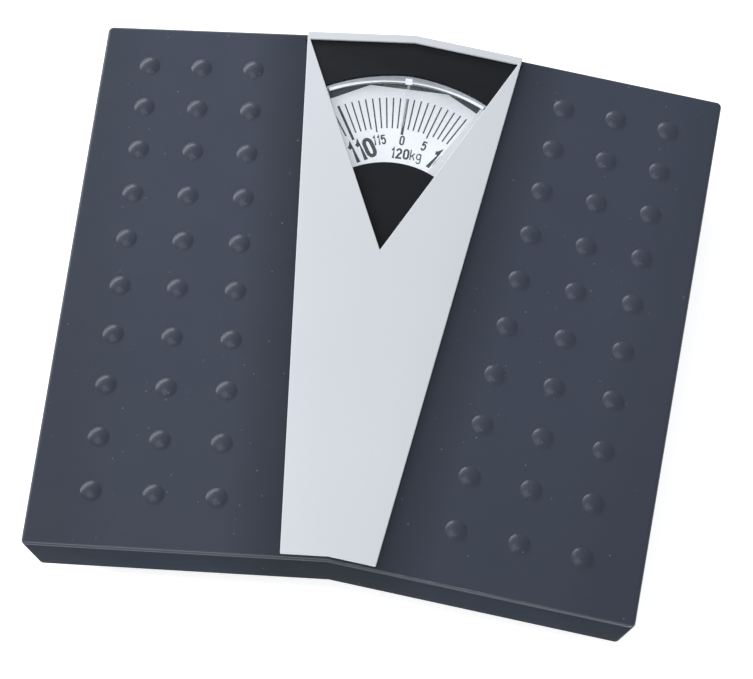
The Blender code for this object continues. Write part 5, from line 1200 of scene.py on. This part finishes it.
stage = {
    "floorSize": 6.0, "floorTone": 0.93, "floorClouds": 0.02, "floorGlow": 0.66,
    "room": (0.95, 0.975, 1.0), "roomStrength": 0.36,
}
lights = {
    "keyBackLeft": {"place": (-1.6, 1.5, 0.85), "size": (2.9, 0.7), "power": 47, "colour": (1, 0.99, 0.975)},
    "overhead": {"place": (-0.6, -0.35, 1.7), "size": (1.2, 1.0), "power": 9.2, "colour": (0.97, 0.985, 1.0)},
    "smallOver": {"place": (0.2, -0.55, 1.9), "size": (0.06, 0.06), "power": 1.6},
    "lowFront": {"place": (0.8, -1.7, 0.7), "size": (0.9, 0.16), "power": 8.0, "target": (0.03, -0.12, 0.03)},
}
view = {
    "lens": 143.426, "sensor": 36, "clip": (0.05, 20),
    "place": (0.1049, -0.6176, 1.2847), "turn": (0.4539, 0.0081, 0.1492),
}


def buildFloor():
    half, bm = stage["floorSize"] / 2, bmesh.new()
    bm.faces.new(ringOf(bm, [(-half, -half, 0), (half, -half, 0), (half, half, 0), (-half, half, 0)]))
    mesh = meshFrom("floor", bm, recalc=False)
    tone, light = (stage["floorTone"],) * 3, (stage["floorTone"] + stage["floorClouds"],) * 3
    mesh.materials.append(finishOf("floorPaper", tone, 0.9, clouds=(tone, light, 2, 2),
                                   Emission_Color=(1, 1, 1, 1), Emission_Strength=stage["floorGlow"]))
    floor = placeObject("floor", mesh)


def softBox(name, place, size, power, colour=(1, 1, 1), target=(0, 0, 0.03)):
    light = bpy.data.lights.new(name, "AREA")
    light.shape, light.size, light.size_y = "RECTANGLE", size[0], size[1]
    light.energy, light.color = power, colour
    lamp = placeObject(name, light)
    lamp.location = place
    lamp.rotation_euler = (Vector(target) - Vector(place)).to_track_quat("-Z", "Y").to_euler()


def buildCamera():
    data = bpy.data.cameras.new("camera")
    data.lens, data.sensor_width = view["lens"], view["sensor"]
    data.clip_start, data.clip_end = view["clip"]
    camera = placeObject("camera", data)
    camera.location, camera.rotation_euler = view["place"], view["turn"]
    bpy.context.scene.camera = camera


def brightRoom():
    world = bpy.data.worlds.new("room")
    world.use_nodes = True
    background = world.node_tree.nodes["Background"].inputs
    background["Color"].default_value = (*stage["room"], 1)
    background["Strength"].default_value = stage["roomStrength"]
    bpy.context.scene.world = world
    bpy.context.scene.view_settings.view_transform = "Standard"


buildFloor()
for name, settings in lights.items():
    softBox(name, **settings)
brightRoom()
buildCamera()
print("stage and camera ready")
